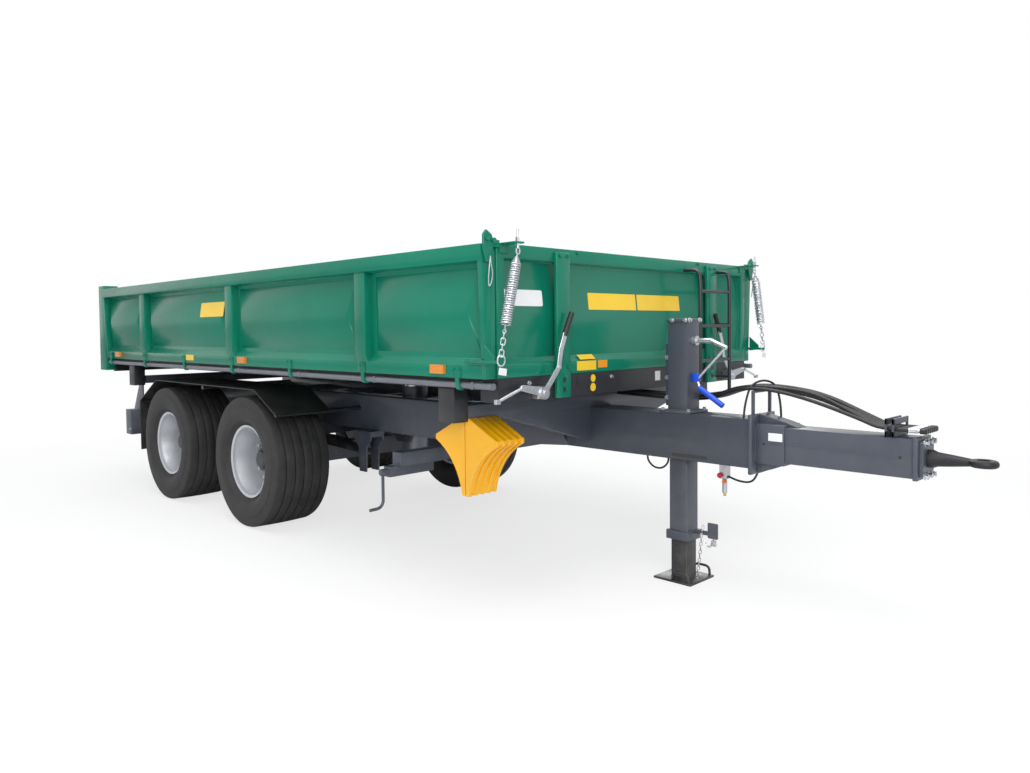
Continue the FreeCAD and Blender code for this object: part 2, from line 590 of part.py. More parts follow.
tail_beam = box("tail_beam", floor_rear, -d.floor_half, d.girder_bottom, 62, "2 * floor_half",
                under - d.seat_gap - d.girder_bottom)
front_beam = box("front_beam", d.front_wall_back - 60, -d.floor_half, d.sill_bottom, 60 + d.front_wall_depth,
                 "2 * floor_half", d.side_bottom - d.seat_gap - d.sill_bottom)
# The cylinder's ball pushes up on a plate between two cheeks, which leave it free to rock along X.
seat_low = d.ram_head_z + d.ram_ball + d.ball_clearance
ram_plate = box("ram_plate", d.ram_x - 110, -d.girder_half, seat_low, 220, "2 * girder_half",
                under - d.seat_gap - seat_low)
ram_cheeks = [box("ram_cheek_%d" % side, d.ram_x - 60, side * (d.ram_ball + 11) - 10, d.ram_head_z - 10, 120, 20,
                  seat_low - d.seat_gap - d.ram_head_z + 10) for side in (-1, 1)]
finish("bed_subframe", together("bed_subframe", girders + rims + ribs + ram_cheeks
                                + [tail_beam, front_beam, ram_plate]))


def pivot_post(name, x, side):
    low_y = side * d.pivot_y - 47
    low = d.pivot_z - 45
    block = box(name + "_block", x - d.post_width / 2, low_y, low, "post_width", 92, d.deck_bottom - low)
    free = d.ball_radius + d.ball_clearance
    hollow = sphere(name + "_hollow", (x, side * d.pivot_y, d.pivot_z), free)
    mouth = cylinder(name + "_mouth", (x, side * d.pivot_y, low - 5), (0, 0, 1), free, d.pivot_z - low + 5)
    start = side * d.pivot_y
    throat = cylinder(name + "_throat", (x, start, d.pivot_z), (0, -side, 0), 26, 60)
    gate = box(name + "_gate", x - 26, min(start, start - side * 60), low - 5, 52, 60, d.pivot_z - low + 5)
    return cut(name, block, fuse(name + "_voids", [hollow, mouth, throat, gate]))


posts = []
for k, x in enumerate((d.pivot_rear_x, d.pivot_front_x)):
    for side in (-1, 1):
        posts.append(pivot_post("pivot_post_%d_%d" % (k, side + 1), x, side))
finish("bed_pivot_posts", together("bed_pivot_posts", posts))

back = d.front_wall_back
fold_front = back + d.front_wall_depth
wall_profile = [(back, d.side_bottom), (fold_front, d.side_bottom), (fold_front, 1215), (back + 26, 1245),
                (back + 44, d.fold_z), (back + d.front_wall_panel, 1715), (fold_front, 1722),
                (fold_front, d.wall_top), (back, d.wall_top)]
wall_half = d.side_inner - d.joint_gap
front_wall = pad("front_wall_panel", "XZ_Plane", [wall_profile], -wall_half, 2 * wall_half)
front_ends = [box("front_end_%d" % side, back, side * wall_half - (0 if side < 0 else 50), d.side_bottom,
                  "front_wall_depth", 50, d.wall_top - d.side_bottom) for side in (-1, 1)]
finish("bed_front_wall", fuse("bed_front_wall", [front_wall] + front_ends))
front_posts = [box("front_post_%d" % side, fold_front + 0.3, side * 720 - 53, d.sill_bottom, 22, 106, 735)
               for side in (-1, 1)]
finish("front_posts", together("front_posts", front_posts))

corner_length = d.bed_rear - d.joint_gap - d.corner_rear
corners = []
for side in (-1, 1):
    low_y = -d.corner_outer if side < 0 else d.corner_inner
    post = box("corner_post_%d" % (side + 1), d.corner_rear, low_y, d.corner_bottom, corner_length,
               "corner_outer - corner_inner", "corner_top - corner_bottom")
    hole = cylinder("corner_hole_%d" % (side + 1), (d.tail_pin_x, side * (d.corner_inner - 5), d.tail_pin_z),
                    (0, side, 0), d.tail_pin_radius + 0.08, 60)
    foot_cut = box("corner_relief_%d" % (side + 1), floor_rear - 0.0, min(side * d.corner_inner, side * d.floor_half),
                   d.corner_bottom - 5, 100, d.floor_half - d.corner_inner, under + 11 - d.corner_bottom)
    corners.append(cut("rear_corner_%d" % (side + 1), cut("corner_drilled_%d" % (side + 1), post, hole), foot_cut))
finish("rear_corner_posts", together("rear_corner_posts", corners))

# Tailboard: hangs on two pins at the top of the rear posts.
tail_half = d.corner_inner - d.joint_gap
tail_back = d.tail_front - d.tail_thickness
tail_profile = [(d.tail_front, d.tail_bottom), (d.tail_front, d.tail_top), (tail_back, d.tail_top),
                (tail_back, d.tail_top - 70), (tail_back + 32, d.tail_top - 78), (tail_back + 8, d.fold_z),
                (tail_back + 32, 1230), (tail_back, 1200), (tail_back, d.tail_bottom)]
tail_panel = pad("tail_panel", "XZ_Plane", [tail_profile], -tail_half, 2 * tail_half)
tail_ribs = [box("tail_rib_%d" % k, tail_back, y - 45, d.tail_bottom, 50, 90, d.tail_top - d.tail_bottom)
             for k, y in enumerate((-tail_half + 45, -380, 380, tail_half - 45))]
tail_arms = []
for side in (-1, 1):
    outline = [(tail_back, d.tail_top - 90), (d.tail_front, d.tail_top - 90), (d.tail_front, d.tail_top),
               (d.tail_pin_x + 20, d.tail_pin_z + 20), (d.tail_pin_x - 20, d.tail_pin_z + 20),
               (d.tail_pin_x - 20, d.tail_pin_z - 20)]
    low_y = side * (tail_half - 9) - 9
    tail_arms.append(pad("tail_arm_%d" % (side + 1), "XZ_Plane", [outline], low_y, 18))
    tail_arms.append(cylinder("tail_pin_%d" % (side + 1), (d.tail_pin_x, side * (tail_half - 15), d.tail_pin_z),
                              (0, side, 0), "tail_pin_radius", 60))
finish("tailboard", fuse("tailboard", [tail_panel] + tail_ribs + tail_arms))

# Side walls: folded panel, top rail, posts and end plates, drawn for the right side.
rail_low = d.side_top - d.rail_height
sill_top = d.side_bottom + d.sill_height
HOOK_X = [d.hook_first + k * d.hook_pitch for k in range(int(d.hook_count))]


def side_wall(name):
    o = d.side_inner
    profile = [(-o, d.side_bottom), (-d.side_rail_out, d.side_bottom), (-d.side_rail_out, sill_top),
               (-d.panel_low_out, d.ledge_z), (-d.fold_out, d.fold_z), (-d.panel_top_out, rail_low - 8),
               (-d.side_top_out, rail_low), (-d.side_top_out, d.side_top), (-o, d.side_top)]
    panel = pad(name + "_panel", "YZ_Plane", [profile], d.bed_rear, "bed_length")
    post_face = [(-o, d.side_bottom), (-d.side_rail_out, d.side_bottom), (-d.side_rail_out, sill_top - 4),
                 (-d.side_post_out, sill_top + 40), (-d.side_post_out, rail_low + 5),
                 (-o, rail_low + 5)]
    members = [panel]
    for k in (1, 3, 5):
        members.append(pad("%s_post_%d" % (name, k), "YZ_Plane", [post_face],
                           HOOK_X[k] - d.side_post_width / 2, "side_post_width"))
    edge = [(-o, d.side_bottom), (-d.side_rail_out, d.side_bottom), (-d.side_top_out, d.side_top), (-o, d.side_top)]
    for k, x in enumerate((d.bed_rear, BED_FRONT - d.end_plate)):
        members.append(pad("%s_end_%d" % (name, k), "YZ_Plane", [edge], x, "end_plate"))
    return fuse(name, members)


finish("side_wall_right", side_wall("side_wall_right"))
finish("side_wall_left", mirrored("side_wall_left", side_wall("left_wall_source")))


# Hooks: each grips the locking shaft below the wall.
def hooks(name):
    centre_y = -d.shaft_y
    grip = d.shaft_radius + d.hook_clearance
    out = grip + d.hook_thickness
    z = d.shaft_z
    outline = [(centre_y - out, z + 90), (centre_y - out, z),
               (centre_y + out, z, centre_y, z - out), (centre_y + grip, z),
               (centre_y - grip, z, centre_y, z - grip), (centre_y - grip, sill_top - 70),
               (-d.side_rail_out - 0.3, sill_top - 63), (-d.side_rail_out - 0.3, z + 90)]
    items = [pad("%s_%d" % (name, k), "YZ_Plane", [outline], x - d.hook_width / 2, "hook_width")
             for k, x in enumerate(HOOK_X)]
    gusset = pad(name + "_gusset", "XZ_Plane",
                 [[(BED_FRONT + 0.3, 1213), (BED_FRONT + 95, 1213), (BED_FRONT + 95, 1225), (BED_FRONT + 0.3, 1300)]],
                 -1226, 10)
    return together(name, items + [gusset])


finish("side_hooks_right", hooks("side_hooks_right"))
finish("side_hooks_left", mirrored("side_hooks_left", hooks("left_hooks_source")))


def markers(name):
    items = [box("%s_%d" % (name, k), x - 50, -d.side_rail_out - 18, 1170, 100, 17.7, 44)
             for k, x in enumerate((-1479, 848, 2897))]
    return together(name, items)


finish("side_markers_right", markers("side_markers_right"))
finish("side_markers_left", mirrored("side_markers_left", markers("left_markers_source")))


# Locking shafts under the walls, held by plates on the deck's edge.
def locking_shaft(name):
    rear = d.bed_rear + 40
    front = BED_FRONT + 30
    shaft = cylinder(name + "_bar", (rear, -d.shaft_y, d.shaft_z), (1, 0, 0), "shaft_radius", front - rear)
    plates = [box("%s_plate_%d" % (name, k), x + 90, -d.shaft_y - 16, d.shaft_z - 18, 14,
                  d.shaft_y + 16 - d.floor_half - 0.3, 36) for k, x in enumerate(HOOK_X)]
    return fuse(name, [shaft] + plates)


finish("locking_shafts", together("locking_shafts", [locking_shaft("shaft_right"),
                                                     mirrored("shaft_left", locking_shaft("shaft_left_source"))]))

# Front face gear: latches, toggle levers, spring brackets and springs.
gear_x = fold_front + 6


def corner_latch(name):
    plate = box(name + "_plate", gear_x, -1235, 1640, 12, 75, 200)
    boss_a = cylinder(name + "_boss_a", (gear_x + 11, -1205, 1800), (1, 0, 0), 22, 22)
    boss_b = cylinder(name + "_boss_b", (gear_x + 11, -1190, 1700), (1, 0, 0), 16, 22)
    foot = box(name + "_foot", fold_front + 0.3, -1174, 1660, 10, 12, 150)
    return fuse(name, [plate, boss_a, boss_b, foot])


finish("corner_latches", together("corner_latches", [corner_latch("latch_right"),
                                                     mirrored("latch_left", corner_latch("latch_left_source"))]))


def toggle_lever(name):
    x = fold_front + 40
    arm = feature(name + "_arm", swept([(x, -844, 1050), (x, -790, 1100), (x, -751, 1195), (x, -715, 1300),
                                        (x, -654, 1465)], 9))
    rod = cylinder(name + "_rod", (x, -844, 1050), (0, -1, -0.02), 8, 350)
    bracket = box(name + "_bracket", fold_front + 0.3, -880, d.sill_bottom + 5, 50, 90, 45)
    grip = cylinder(name + "_grip", (x, -700, 1341), (0, 0.35, 0.94), 14, 130)
    return fuse(name, [arm, rod, bracket, grip])


finish("toggle_levers", together("toggle_levers", [toggle_lever("lever_right"),
                                                   mirrored("lever_left", toggle_lever("lever_left_source"))]))


def spring_bracket(name):
    body = box(name + "_body", fold_front + 0.3, -1060, d.wall_top - 70, 60, 50, 60)
    bolt = cylinder(name + "_bolt", (fold_front + 35, -1035, d.wall_top - 80), (0, 0, 1), 7, 160)
    return fuse(name, [body, bolt])


finish("spring_brackets", together("spring_brackets", [spring_bracket("bracket_right"),
                                                       mirrored("bracket_left", spring_bracket("bracket_left_source"))]))


def counter_spring(name):
    x = fold_front + 35
    top = V(x, -1037, d.wall_top - 82)
    low = V(x, -1120, 1405)
    ring = V(x + 20, -1205, 1231)
    coil = Part.makeCylinder(24, (low - top).Length, top, low - top)
    chain = Part.makeCylinder(7, (ring - low).Length, low, ring - low)
    return feature(name, coil.fuse(chain))


finish("counter_spring_right", counter_spring("counter_spring_right"))
finish("counter_spring_left", mirrored("counter_spring_left", counter_spring("left_spring_source")))

# Ladder on the front wall, left of the middle.
ladder_x = fold_front + 110
ladder_items = []
for y in (430, 775):
    stile_face = fold_front + 22.3 if y > 600 else fold_front
    ladder_items.append(feature("ladder_stile_%d" % y, swept([
        (stile_face + d.seat_gap, y, d.wall_top - 60), (ladder_x - 40, y, d.wall_top - 60), (ladder_x, y, d.wall_top - 140),
        (ladder_x, y, 1400), (ladder_x, y, 960)], 11)))
    for z in (1070, 1400):
        face = fold_front + 22.3 if y > 600 else fold_front if z < 1151 else fold_front - 21
        ladder_items.append(cylinder("ladder_stay_%d_%d" % (y, z), (face + d.seat_gap, y, z), (1, 0, 0), 8,
                                     ladder_x - face - d.seat_gap))
for z in (975, 1185, 1392, 1600):
    ladder_items.append(cylinder("ladder_rung_%d" % z, (ladder_x, 430, z), (0, 1, 0), 10, 345))
finish("access_ladder", fuse("access_ladder", ladder_items))

# Hand crank of the leg, on the front of its housing.
crank_top = 1310
jack_shaft = cylinder("jack_shaft", (d.leg_x + housing_half + 0.3, 0, crank_top), (1, 0, 0), 14, 60)
jack_bar = feature("jack_bar", swept([(d.leg_x + housing_half + 50, 0, crank_top),
                                      (d.leg_x + housing_half + 52, -30, crank_top - 160),
                                      (d.leg_x + housing_half + 60, -34, crank_top - 250)], 8))
jack_grip = cylinder("jack_grip", (d.leg_x + housing_half + 55, -32, crank_top - 230), (0.5, 0, -0.8), 15, 170)
finish("leg_crank", fuse("leg_crank", [jack_shaft, jack_bar, jack_grip]))

# Hoses: from the chassis past the leg, over the post and down to the front holder.
HOSE_Y = (-66, -40, -14, 14, 40, 66)
hose_items = []
for k, y in enumerate(HOSE_Y):
    spread = 1 if y > 0 else -1
    aside = spread * (housing_half + 22 + abs(y) * 0.5)
    lift = 6 * (k % 3)
    hose_items.append(feature("hose_%d" % k, swept([
        (2960, aside * 1.0, BEAM_TOP + 70), (3330, aside, BEAM_TOP + 60 + lift), (3650, aside, BEAM_TOP + 60 + lift),
        (3930, y * 1.1, BEAM_TOP + 130 + lift), (4250, y, BEAM_TOP + 95 + lift), (4560, y, BEAM_TOP + 12 + lift * 0.3),
        (4710, y, BEAM_TOP + 4)], 9)))
finish("service_hoses", together("service_hoses", hose_items))
hose_post = box("hose_post", 3905, -12, BEAM_TOP, 24, 24, 92)
hose_bar = box("hose_bar", 3905, -95, BEAM_TOP + 90, 24, 190, 12)
holder_post = box("holder_post", 4540, -12, d.tongue_bottom + d.tongue_depth, 24, 24, 18)
holder_bar = box("holder_bar", 4540, -85, d.tongue_bottom + d.tongue_depth + 12, 24, 170, 8)
finish("hose_brackets", together("hose_brackets", [fuse("hose_stand", [hose_post, hose_bar]),
                                                   fuse("hose_holder", [holder_post, holder_bar])]))

# Check every object, then write each sub-part.
doc.recompute()
faults = [o.Name for o in doc.Objects if "Invalid" in o.State or "Error" in o.State]
if faults:
    raise RuntimeError("failed objects: " + ", ".join(faults))
for item in SUB_PARTS:
    shape = item.Shape
    if shape.isNull() or not shape.isValid() or not shape.Solids:
        raise RuntimeError("bad shape: " + item.Label)
    shape.exportStep("parts/%s.step" % item.Label)
    print(item.Label, len(shape.Solids), "solids", round(shape.Volume / 1e6, 2), "litres")
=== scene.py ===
"""Dump trailer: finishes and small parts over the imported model, with the photograph's camera."""
import json
import logging
import math
from dataclasses import dataclass, field
from enum import Enum
from typing import Sequence

import bmesh
import bpy
from mathutils import Matrix, Vector


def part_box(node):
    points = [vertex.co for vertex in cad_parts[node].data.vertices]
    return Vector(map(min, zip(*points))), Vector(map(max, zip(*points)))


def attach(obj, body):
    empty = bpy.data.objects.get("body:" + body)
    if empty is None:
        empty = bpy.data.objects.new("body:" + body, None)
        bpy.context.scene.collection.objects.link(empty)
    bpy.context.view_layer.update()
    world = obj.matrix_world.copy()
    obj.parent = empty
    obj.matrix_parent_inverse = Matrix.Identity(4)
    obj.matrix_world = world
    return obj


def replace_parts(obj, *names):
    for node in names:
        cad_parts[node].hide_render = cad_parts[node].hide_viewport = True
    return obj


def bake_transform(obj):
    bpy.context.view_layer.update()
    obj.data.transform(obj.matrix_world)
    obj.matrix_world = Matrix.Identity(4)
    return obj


log = logging.getLogger("dump_trailer")
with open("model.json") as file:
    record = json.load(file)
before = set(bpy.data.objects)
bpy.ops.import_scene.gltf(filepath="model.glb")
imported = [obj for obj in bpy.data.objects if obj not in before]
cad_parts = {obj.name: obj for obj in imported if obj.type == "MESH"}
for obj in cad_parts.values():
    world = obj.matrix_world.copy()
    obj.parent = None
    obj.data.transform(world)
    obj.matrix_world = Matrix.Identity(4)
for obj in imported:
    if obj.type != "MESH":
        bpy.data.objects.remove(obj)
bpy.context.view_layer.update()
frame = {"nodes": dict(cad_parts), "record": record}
Point = tuple[float, float, float]
Flat = tuple[float, ...]
MM = 0.001
AXLES = sum(sum(corner[0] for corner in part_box(rim)) / 2 for rim in ("rim_front_right", "rim_rear_right")) / 2
AHEAD, LEFT, RIGHT, UP = Vector((1, 0, 0)), Vector((0, 1, 0)), Vector((0, -1, 0)), Vector((0, 0, 1))


class Body(Enum):
    """The moving bodies that pieces ride on."""

    CHASSIS = "chassis"
    BED = "bed"
    SIDE_RIGHT = "side_right"
    SIDE_LEFT = "side_left"
    SLEEVE = "leg_slide_body"
    FOOT = "foot"


SIDES = (("right", -1, Body.SIDE_RIGHT), ("left", 1, Body.SIDE_LEFT))


# Shaders
class Value:
    """A shader socket that takes part in Python expressions."""

    def __init__(self, shader: "Shader", socket: bpy.types.NodeSocket) -> None:
        """Keep the socket and the shader that it belongs to."""
        self.shader = shader
        self.socket = socket

    def maths(self, operation: str, *values: "Value | float") -> "Value":
        """Add one Math node.

        Args:
            operation: the Math node's operation.
            values: its inputs, in order.

        Returns:
            The node's result.
        """
        named = {i: v for i, v in enumerate(values)}
        return self.shader.node("ShaderNodeMath", {"operation": operation}, named)[0]

    def __add__(self, other: "Value | float") -> "Value":
        """Sum."""
        return self.maths("ADD", self, other)

    def __radd__(self, other: float) -> "Value":
        """Sum, number first."""
        return self.maths("ADD", other, self)

    def __sub__(self, other: "Value | float") -> "Value":
        """Difference."""
        return self.maths("SUBTRACT", self, other)

    def __rsub__(self, other: float) -> "Value":
        """Difference, number first."""
        return self.maths("SUBTRACT", other, self)

    def __mul__(self, other: "Value | float") -> "Value":
        """Product."""
        return self.maths("MULTIPLY", self, other)

    def __rmul__(self, other: float) -> "Value":
        """Product, number first."""
        return self.maths("MULTIPLY", other, self)

    def clamp(self) -> "Value":
        """Held between 0 and 1."""
        return self.maths("MAXIMUM", self.maths("MINIMUM", self, 1.0), 0.0)

    def ramp(self, low: float, high: float) -> "Value":
        """Rises from 0 at low to 1 at high, and may fall the other way."""
        return ((self - low) * (1 / (high - low))).clamp()


class Shader:
    """A material under construction."""

    def __init__(self, name: str) -> None:
        """Start a material that has one Principled shader."""
        self.material = bpy.data.materials.new(name)
        self.material.use_nodes = True
        self.tree = self.material.node_tree
        self.surface = self.tree.nodes["Principled BSDF"]
        self.place = self.node("ShaderNodeTexCoord", {}, {})

    def node(self, kind: str, settings: dict, inputs: dict) -> list[Value]:
        """Add a node.

        Args:
            kind: the node's type.
            settings: properties, set before its sockets.
            inputs: socket name or number to a value or a link.

        Returns:
            The node's outputs.
        """
        made = self.tree.nodes.new(kind)
        for name, value in settings.items():
            setattr(made, name, value)
        for name, value in inputs.items():
            self.feed(made.inputs[name], value)
        return [Value(self, s) for s in made.outputs]

    def feed(self, socket: bpy.types.NodeSocket, value: object) -> None:
        """Link a value to a socket, or set it as a constant.

        Args:
            socket: the socket that takes it.
            value: a link, a colour of three numbers, or a plain value.
        """
        if isinstance(value, Value):
            self.tree.links.new(value.socket, socket)
        elif isinstance(value, tuple) and len(value) == 3 and socket.type == "RGBA":
            socket.default_value = (*value, 1)
        else:
            socket.default_value = value

    def set(self, **sockets: object) -> None:
        """Feed sockets of the Principled shader; an underscore stands for a space."""
        for name, value in sockets.items():
            self.feed(self.surface.inputs[name.replace("_", " ")], value)

    def point(self) -> Value:
        """Place on the piece, in metres."""
        return self.place[3]

    def axis(self, letter: str) -> Value:
        """One coordinate of the place, in metres."""
        return self.node("ShaderNodeSeparateXYZ", {}, {0: self.point()})["XYZ".index(letter)]

    def noise(self, scale: float, detail: float = 3, rough: float = 0.55) -> Value:
        """Fractal noise between 0 and 1 over the place.

        Args:
            scale: features per metre.
            detail: octaves.
            rough: how strong the fine octaves are.

        Returns:
            The noise.
        """
        sockets = {"Vector": self.point(), "Scale": scale, "Detail": detail, "Roughness": rough}
        return self.node("ShaderNodeTexNoise", {}, sockets)[0]

    def mix(self, factor: "Value | float", first: object, second: object) -> Value:
        """Blend two colours."""
        sockets = {0: factor, 6: first, 7: second}
        return self.node("ShaderNodeMix", {"data_type": "RGBA"}, sockets)[2]

    def bump(self, height: Value, depth: float) -> None:
        """Raise the surface by a height in metres times depth."""
        made = self.node("ShaderNodeBump", {}, {"Height": height, "Distance": depth})
        self.set(Normal=made[0])


def shade(colour: Point, factor: float) -> Point:
    """A colour made lighter or darker."""
    return tuple(min(1.0, c * factor) for c in colour)


@dataclass(frozen=True)
class Paint:
    """Sprayed paint on steel, with orange peel, faint mottling and road dust low down."""

    name: str
    colour: Point
    roughness: float = 0.32
    coat: float = 0.35
    dust: float = 0.25
    peel: float = 0.00012
    sheen: float = 0.5

    def material(self) -> bpy.types.Material:
        """Build the paint."""
        s = Shader(self.name)
        cloud = s.noise(1.3, 4)
        mottle = s.noise(9, 5, 0.6)
        body = s.mix(cloud.ramp(0.3, 0.7), shade(self.colour, 0.9), shade(self.colour, 1.1))
        grime = (mottle.ramp(0.42, 0.75) * s.axis("Z").ramp(1.1, 0.2) * self.dust).clamp()
        film = (s.noise(26, 6, 0.7).ramp(0.5, 0.8) * (0.16 * self.dust)).clamp()
        dusty = s.mix((grime + film).clamp(), body, (0.2, 0.185, 0.16))
        s.set(Base_Color=dusty, Metallic=0.0, IOR=1.5, Coat_Roughness=0.12, Specular_IOR_Level=self.sheen)
        s.set(Coat_Weight=(self.coat - grime * 0.5).clamp())
        s.set(Roughness=(self.roughness + (mottle - 0.5) * 0.12 + grime * 0.4).clamp())
        s.bump(s.noise(420, 2) + s.noise(34, 2) * 1.6, self.peel)
        return s.material


@dataclass(frozen=True)
class Metal:
    """Bare, plated or chromed steel with fine wear marks."""

    name: str
    colour: Point
    roughness: float = 0.35
    metallic: float = 0.9
    stain: float = 0.3

    def material(self) -> bpy.types.Material:
        """Build the metal."""
        s = Shader(self.name)
        blotch = s.noise(14, 5, 0.65)
        fine = s.noise(160, 3, 0.6)
        stained = (blotch.ramp(0.35, 0.75) * self.stain).clamp()
        s.set(Base_Color=s.mix(stained, self.colour, shade(self.colour, 0.55)))
        s.set(Metallic=(self.metallic - blotch.ramp(0.5, 0.8) * 0.2 * self.stain).clamp())
        s.set(Roughness=(self.roughness + (fine - 0.5) * 0.25 + (blotch - 0.5) * 0.2).clamp())
        s.bump(fine, 0.0002)
        return s.material


@dataclass(frozen=True)
class Rubber:
    """Rubber or moulded plastic: a fine grain and grey bloom or dust in patches."""

    name: str
    colour: Point
    roughness: float = 0.6
    bloom: Point = (0.09, 0.085, 0.08)
    amount: float = 0.35
    grain: float = 300

    def material(self) -> bpy.types.Material:
        """Build the rubber."""
        s = Shader(self.name)
        patch = s.noise(6, 6, 0.7)
        fine = s.noise(self.grain, 3)
        cover = (patch.ramp(0.4, 0.8) * self.amount).clamp()
        s.set(Base_Color=s.mix(cover, self.colour, self.bloom), IOR=1.5)
        s.set(Roughness=(self.roughness + (fine - 0.5) * 0.2 + cover * 0.3).clamp())
        s.bump(fine + patch * 2, 0.0003)
        return s.material


@dataclass(frozen=True)
class Lens:
    """Coloured lamp or reflector plastic with fine prisms behind a clear face, painted darker in the prisms'
    troughs as shade.
    """

    name: str
    colour: Point
    pitch: float = 0.006

    def material(self) -> bpy.types.Material:
        """Build the lens."""
        s = Shader(self.name)
        prism = [(s.axis(a) * (math.tau / self.pitch)) for a in "XYZ"]
        waves = [p.maths("SINE", p) for p in prism]
        relief = waves[0] * waves[1] * 0.5 + waves[2] * 0.5
        # painted shade: the colour darkens to 0.55 of itself in the relief's troughs, where the bump recesses
        # the prisms
        s.set(Base_Color=s.mix(relief.ramp(-0.6, 0.8), shade(self.colour, 0.55), self.colour))
        s.set(Roughness=0.18, IOR=1.5, Coat_Weight=0.6, Coat_Roughness=0.04)
        s.bump(relief, 0.0006)
        return s.material


class Finish(Enum):
    """Every finish on the trailer."""

    GREEN = Paint("green_gloss", (0.0022, 0.172, 0.103), 0.25, 0.2, 0.05, 0.00006, 0.22)
    SLATE = Paint("slate_satin", (0.052, 0.06, 0.082), 0.4, 0.2, 0.3)
    DARK = Paint("black_satin", (0.012, 0.013, 0.017), 0.42, 0.15, 0.35)
    YELLOW = Paint("chock_yellow", (0.86, 0.42, 0.0), 0.38, 0.25, 0.15)
    SIGN = Paint("sign_yellow", (0.85, 0.55, 0.01), 0.35, 0.3, 0.05, 0.00002)
    ORANGE_SIGN = Paint("sign_orange", (0.8, 0.3, 0.01), 0.35, 0.3, 0.05, 0.00002)
    WHITE = Paint("plate_white", (0.78, 0.79, 0.8), 0.35, 0.3, 0.1, 0.00002)
    # black for the black sign plate, and painted shade where it stands for the posts' square holes and the
    # tongue's slot and holes
    BLACK_PLATE_AND_HOLE_SHADE = Paint("plate_black", (0.014, 0.014, 0.015), 0.32, 0.3, 0.1, 0.00002)
    RIM = Metal("rim_silver", (0.56, 0.57, 0.6), 0.36, 0.55, 0.2)
    # a darker copy of the rim silver for the disc deep inside the barrel: painted shade
    RIM_DISC_SHADED = Metal("rim_grey", (0.3, 0.31, 0.33), 0.42, 0.5, 0.25)
    FORGED = Metal("forged_iron", (0.03, 0.03, 0.034), 0.5, 0.6, 0.5)
    BRASS = Metal("brass", (0.6, 0.42, 0.12), 0.3, 1.0, 0.3)
    ZINC = Metal("zinc_plate", (0.62, 0.64, 0.68), 0.3, 0.95, 0.45)
    BAR = Metal("grey_bar", (0.2, 0.21, 0.24), 0.42, 0.6, 0.4)
    CHROME = Metal("hard_chrome", (0.8, 0.8, 0.82), 0.12, 1.0, 0.1)
    STEEL = Metal("bright_steel", (0.5, 0.5, 0.52), 0.3, 1.0, 0.5)
    TYRE = Rubber("tyre_rubber", (0.013, 0.013, 0.0145), 0.62, (0.075, 0.07, 0.066), 0.45)
    HOSE = Rubber("hose_rubber", (0.01, 0.01, 0.012), 0.45, (0.05, 0.05, 0.05), 0.2, 500)
    PLASTIC = Rubber("guard_plastic", (0.011, 0.011, 0.012), 0.5, (0.08, 0.075, 0.07), 0.4, 700)
    GRIP = Rubber("black_grip", (0.008, 0.008, 0.009), 0.4, (0.04, 0.04, 0.04), 0.15, 900)
    BLUE = Rubber("blue_grip", (0.005, 0.07, 0.62), 0.35, (0.05, 0.12, 0.5), 0.2, 900)
    RED = Rubber("red_cap", (0.55, 0.015, 0.01), 0.35, (0.4, 0.05, 0.04), 0.2, 900)
    ORANGE = Rubber("orange_cap", (0.7, 0.16, 0.01), 0.35, (0.5, 0.15, 0.05), 0.2, 900)
    AMBER_LENS = Lens("amber_lens", (0.95, 0.3, 0.01))
    RED_LENS = Lens("red_lens", (0.62, 0.012, 0.01))


class Paintshop:
    """Makes each finish once and hands it out."""

    def __init__(self) -> None:
        """Start with no material made."""
        self.made: dict[Finish, bpy.types.Material] = {}

    def get(self, finish: Finish) -> bpy.types.Material:
        """The material of a finish."""
        if finish not in self.made:
            self.made[finish] = finish.value.material()
        return self.made[finish]


SHOP = Paintshop()


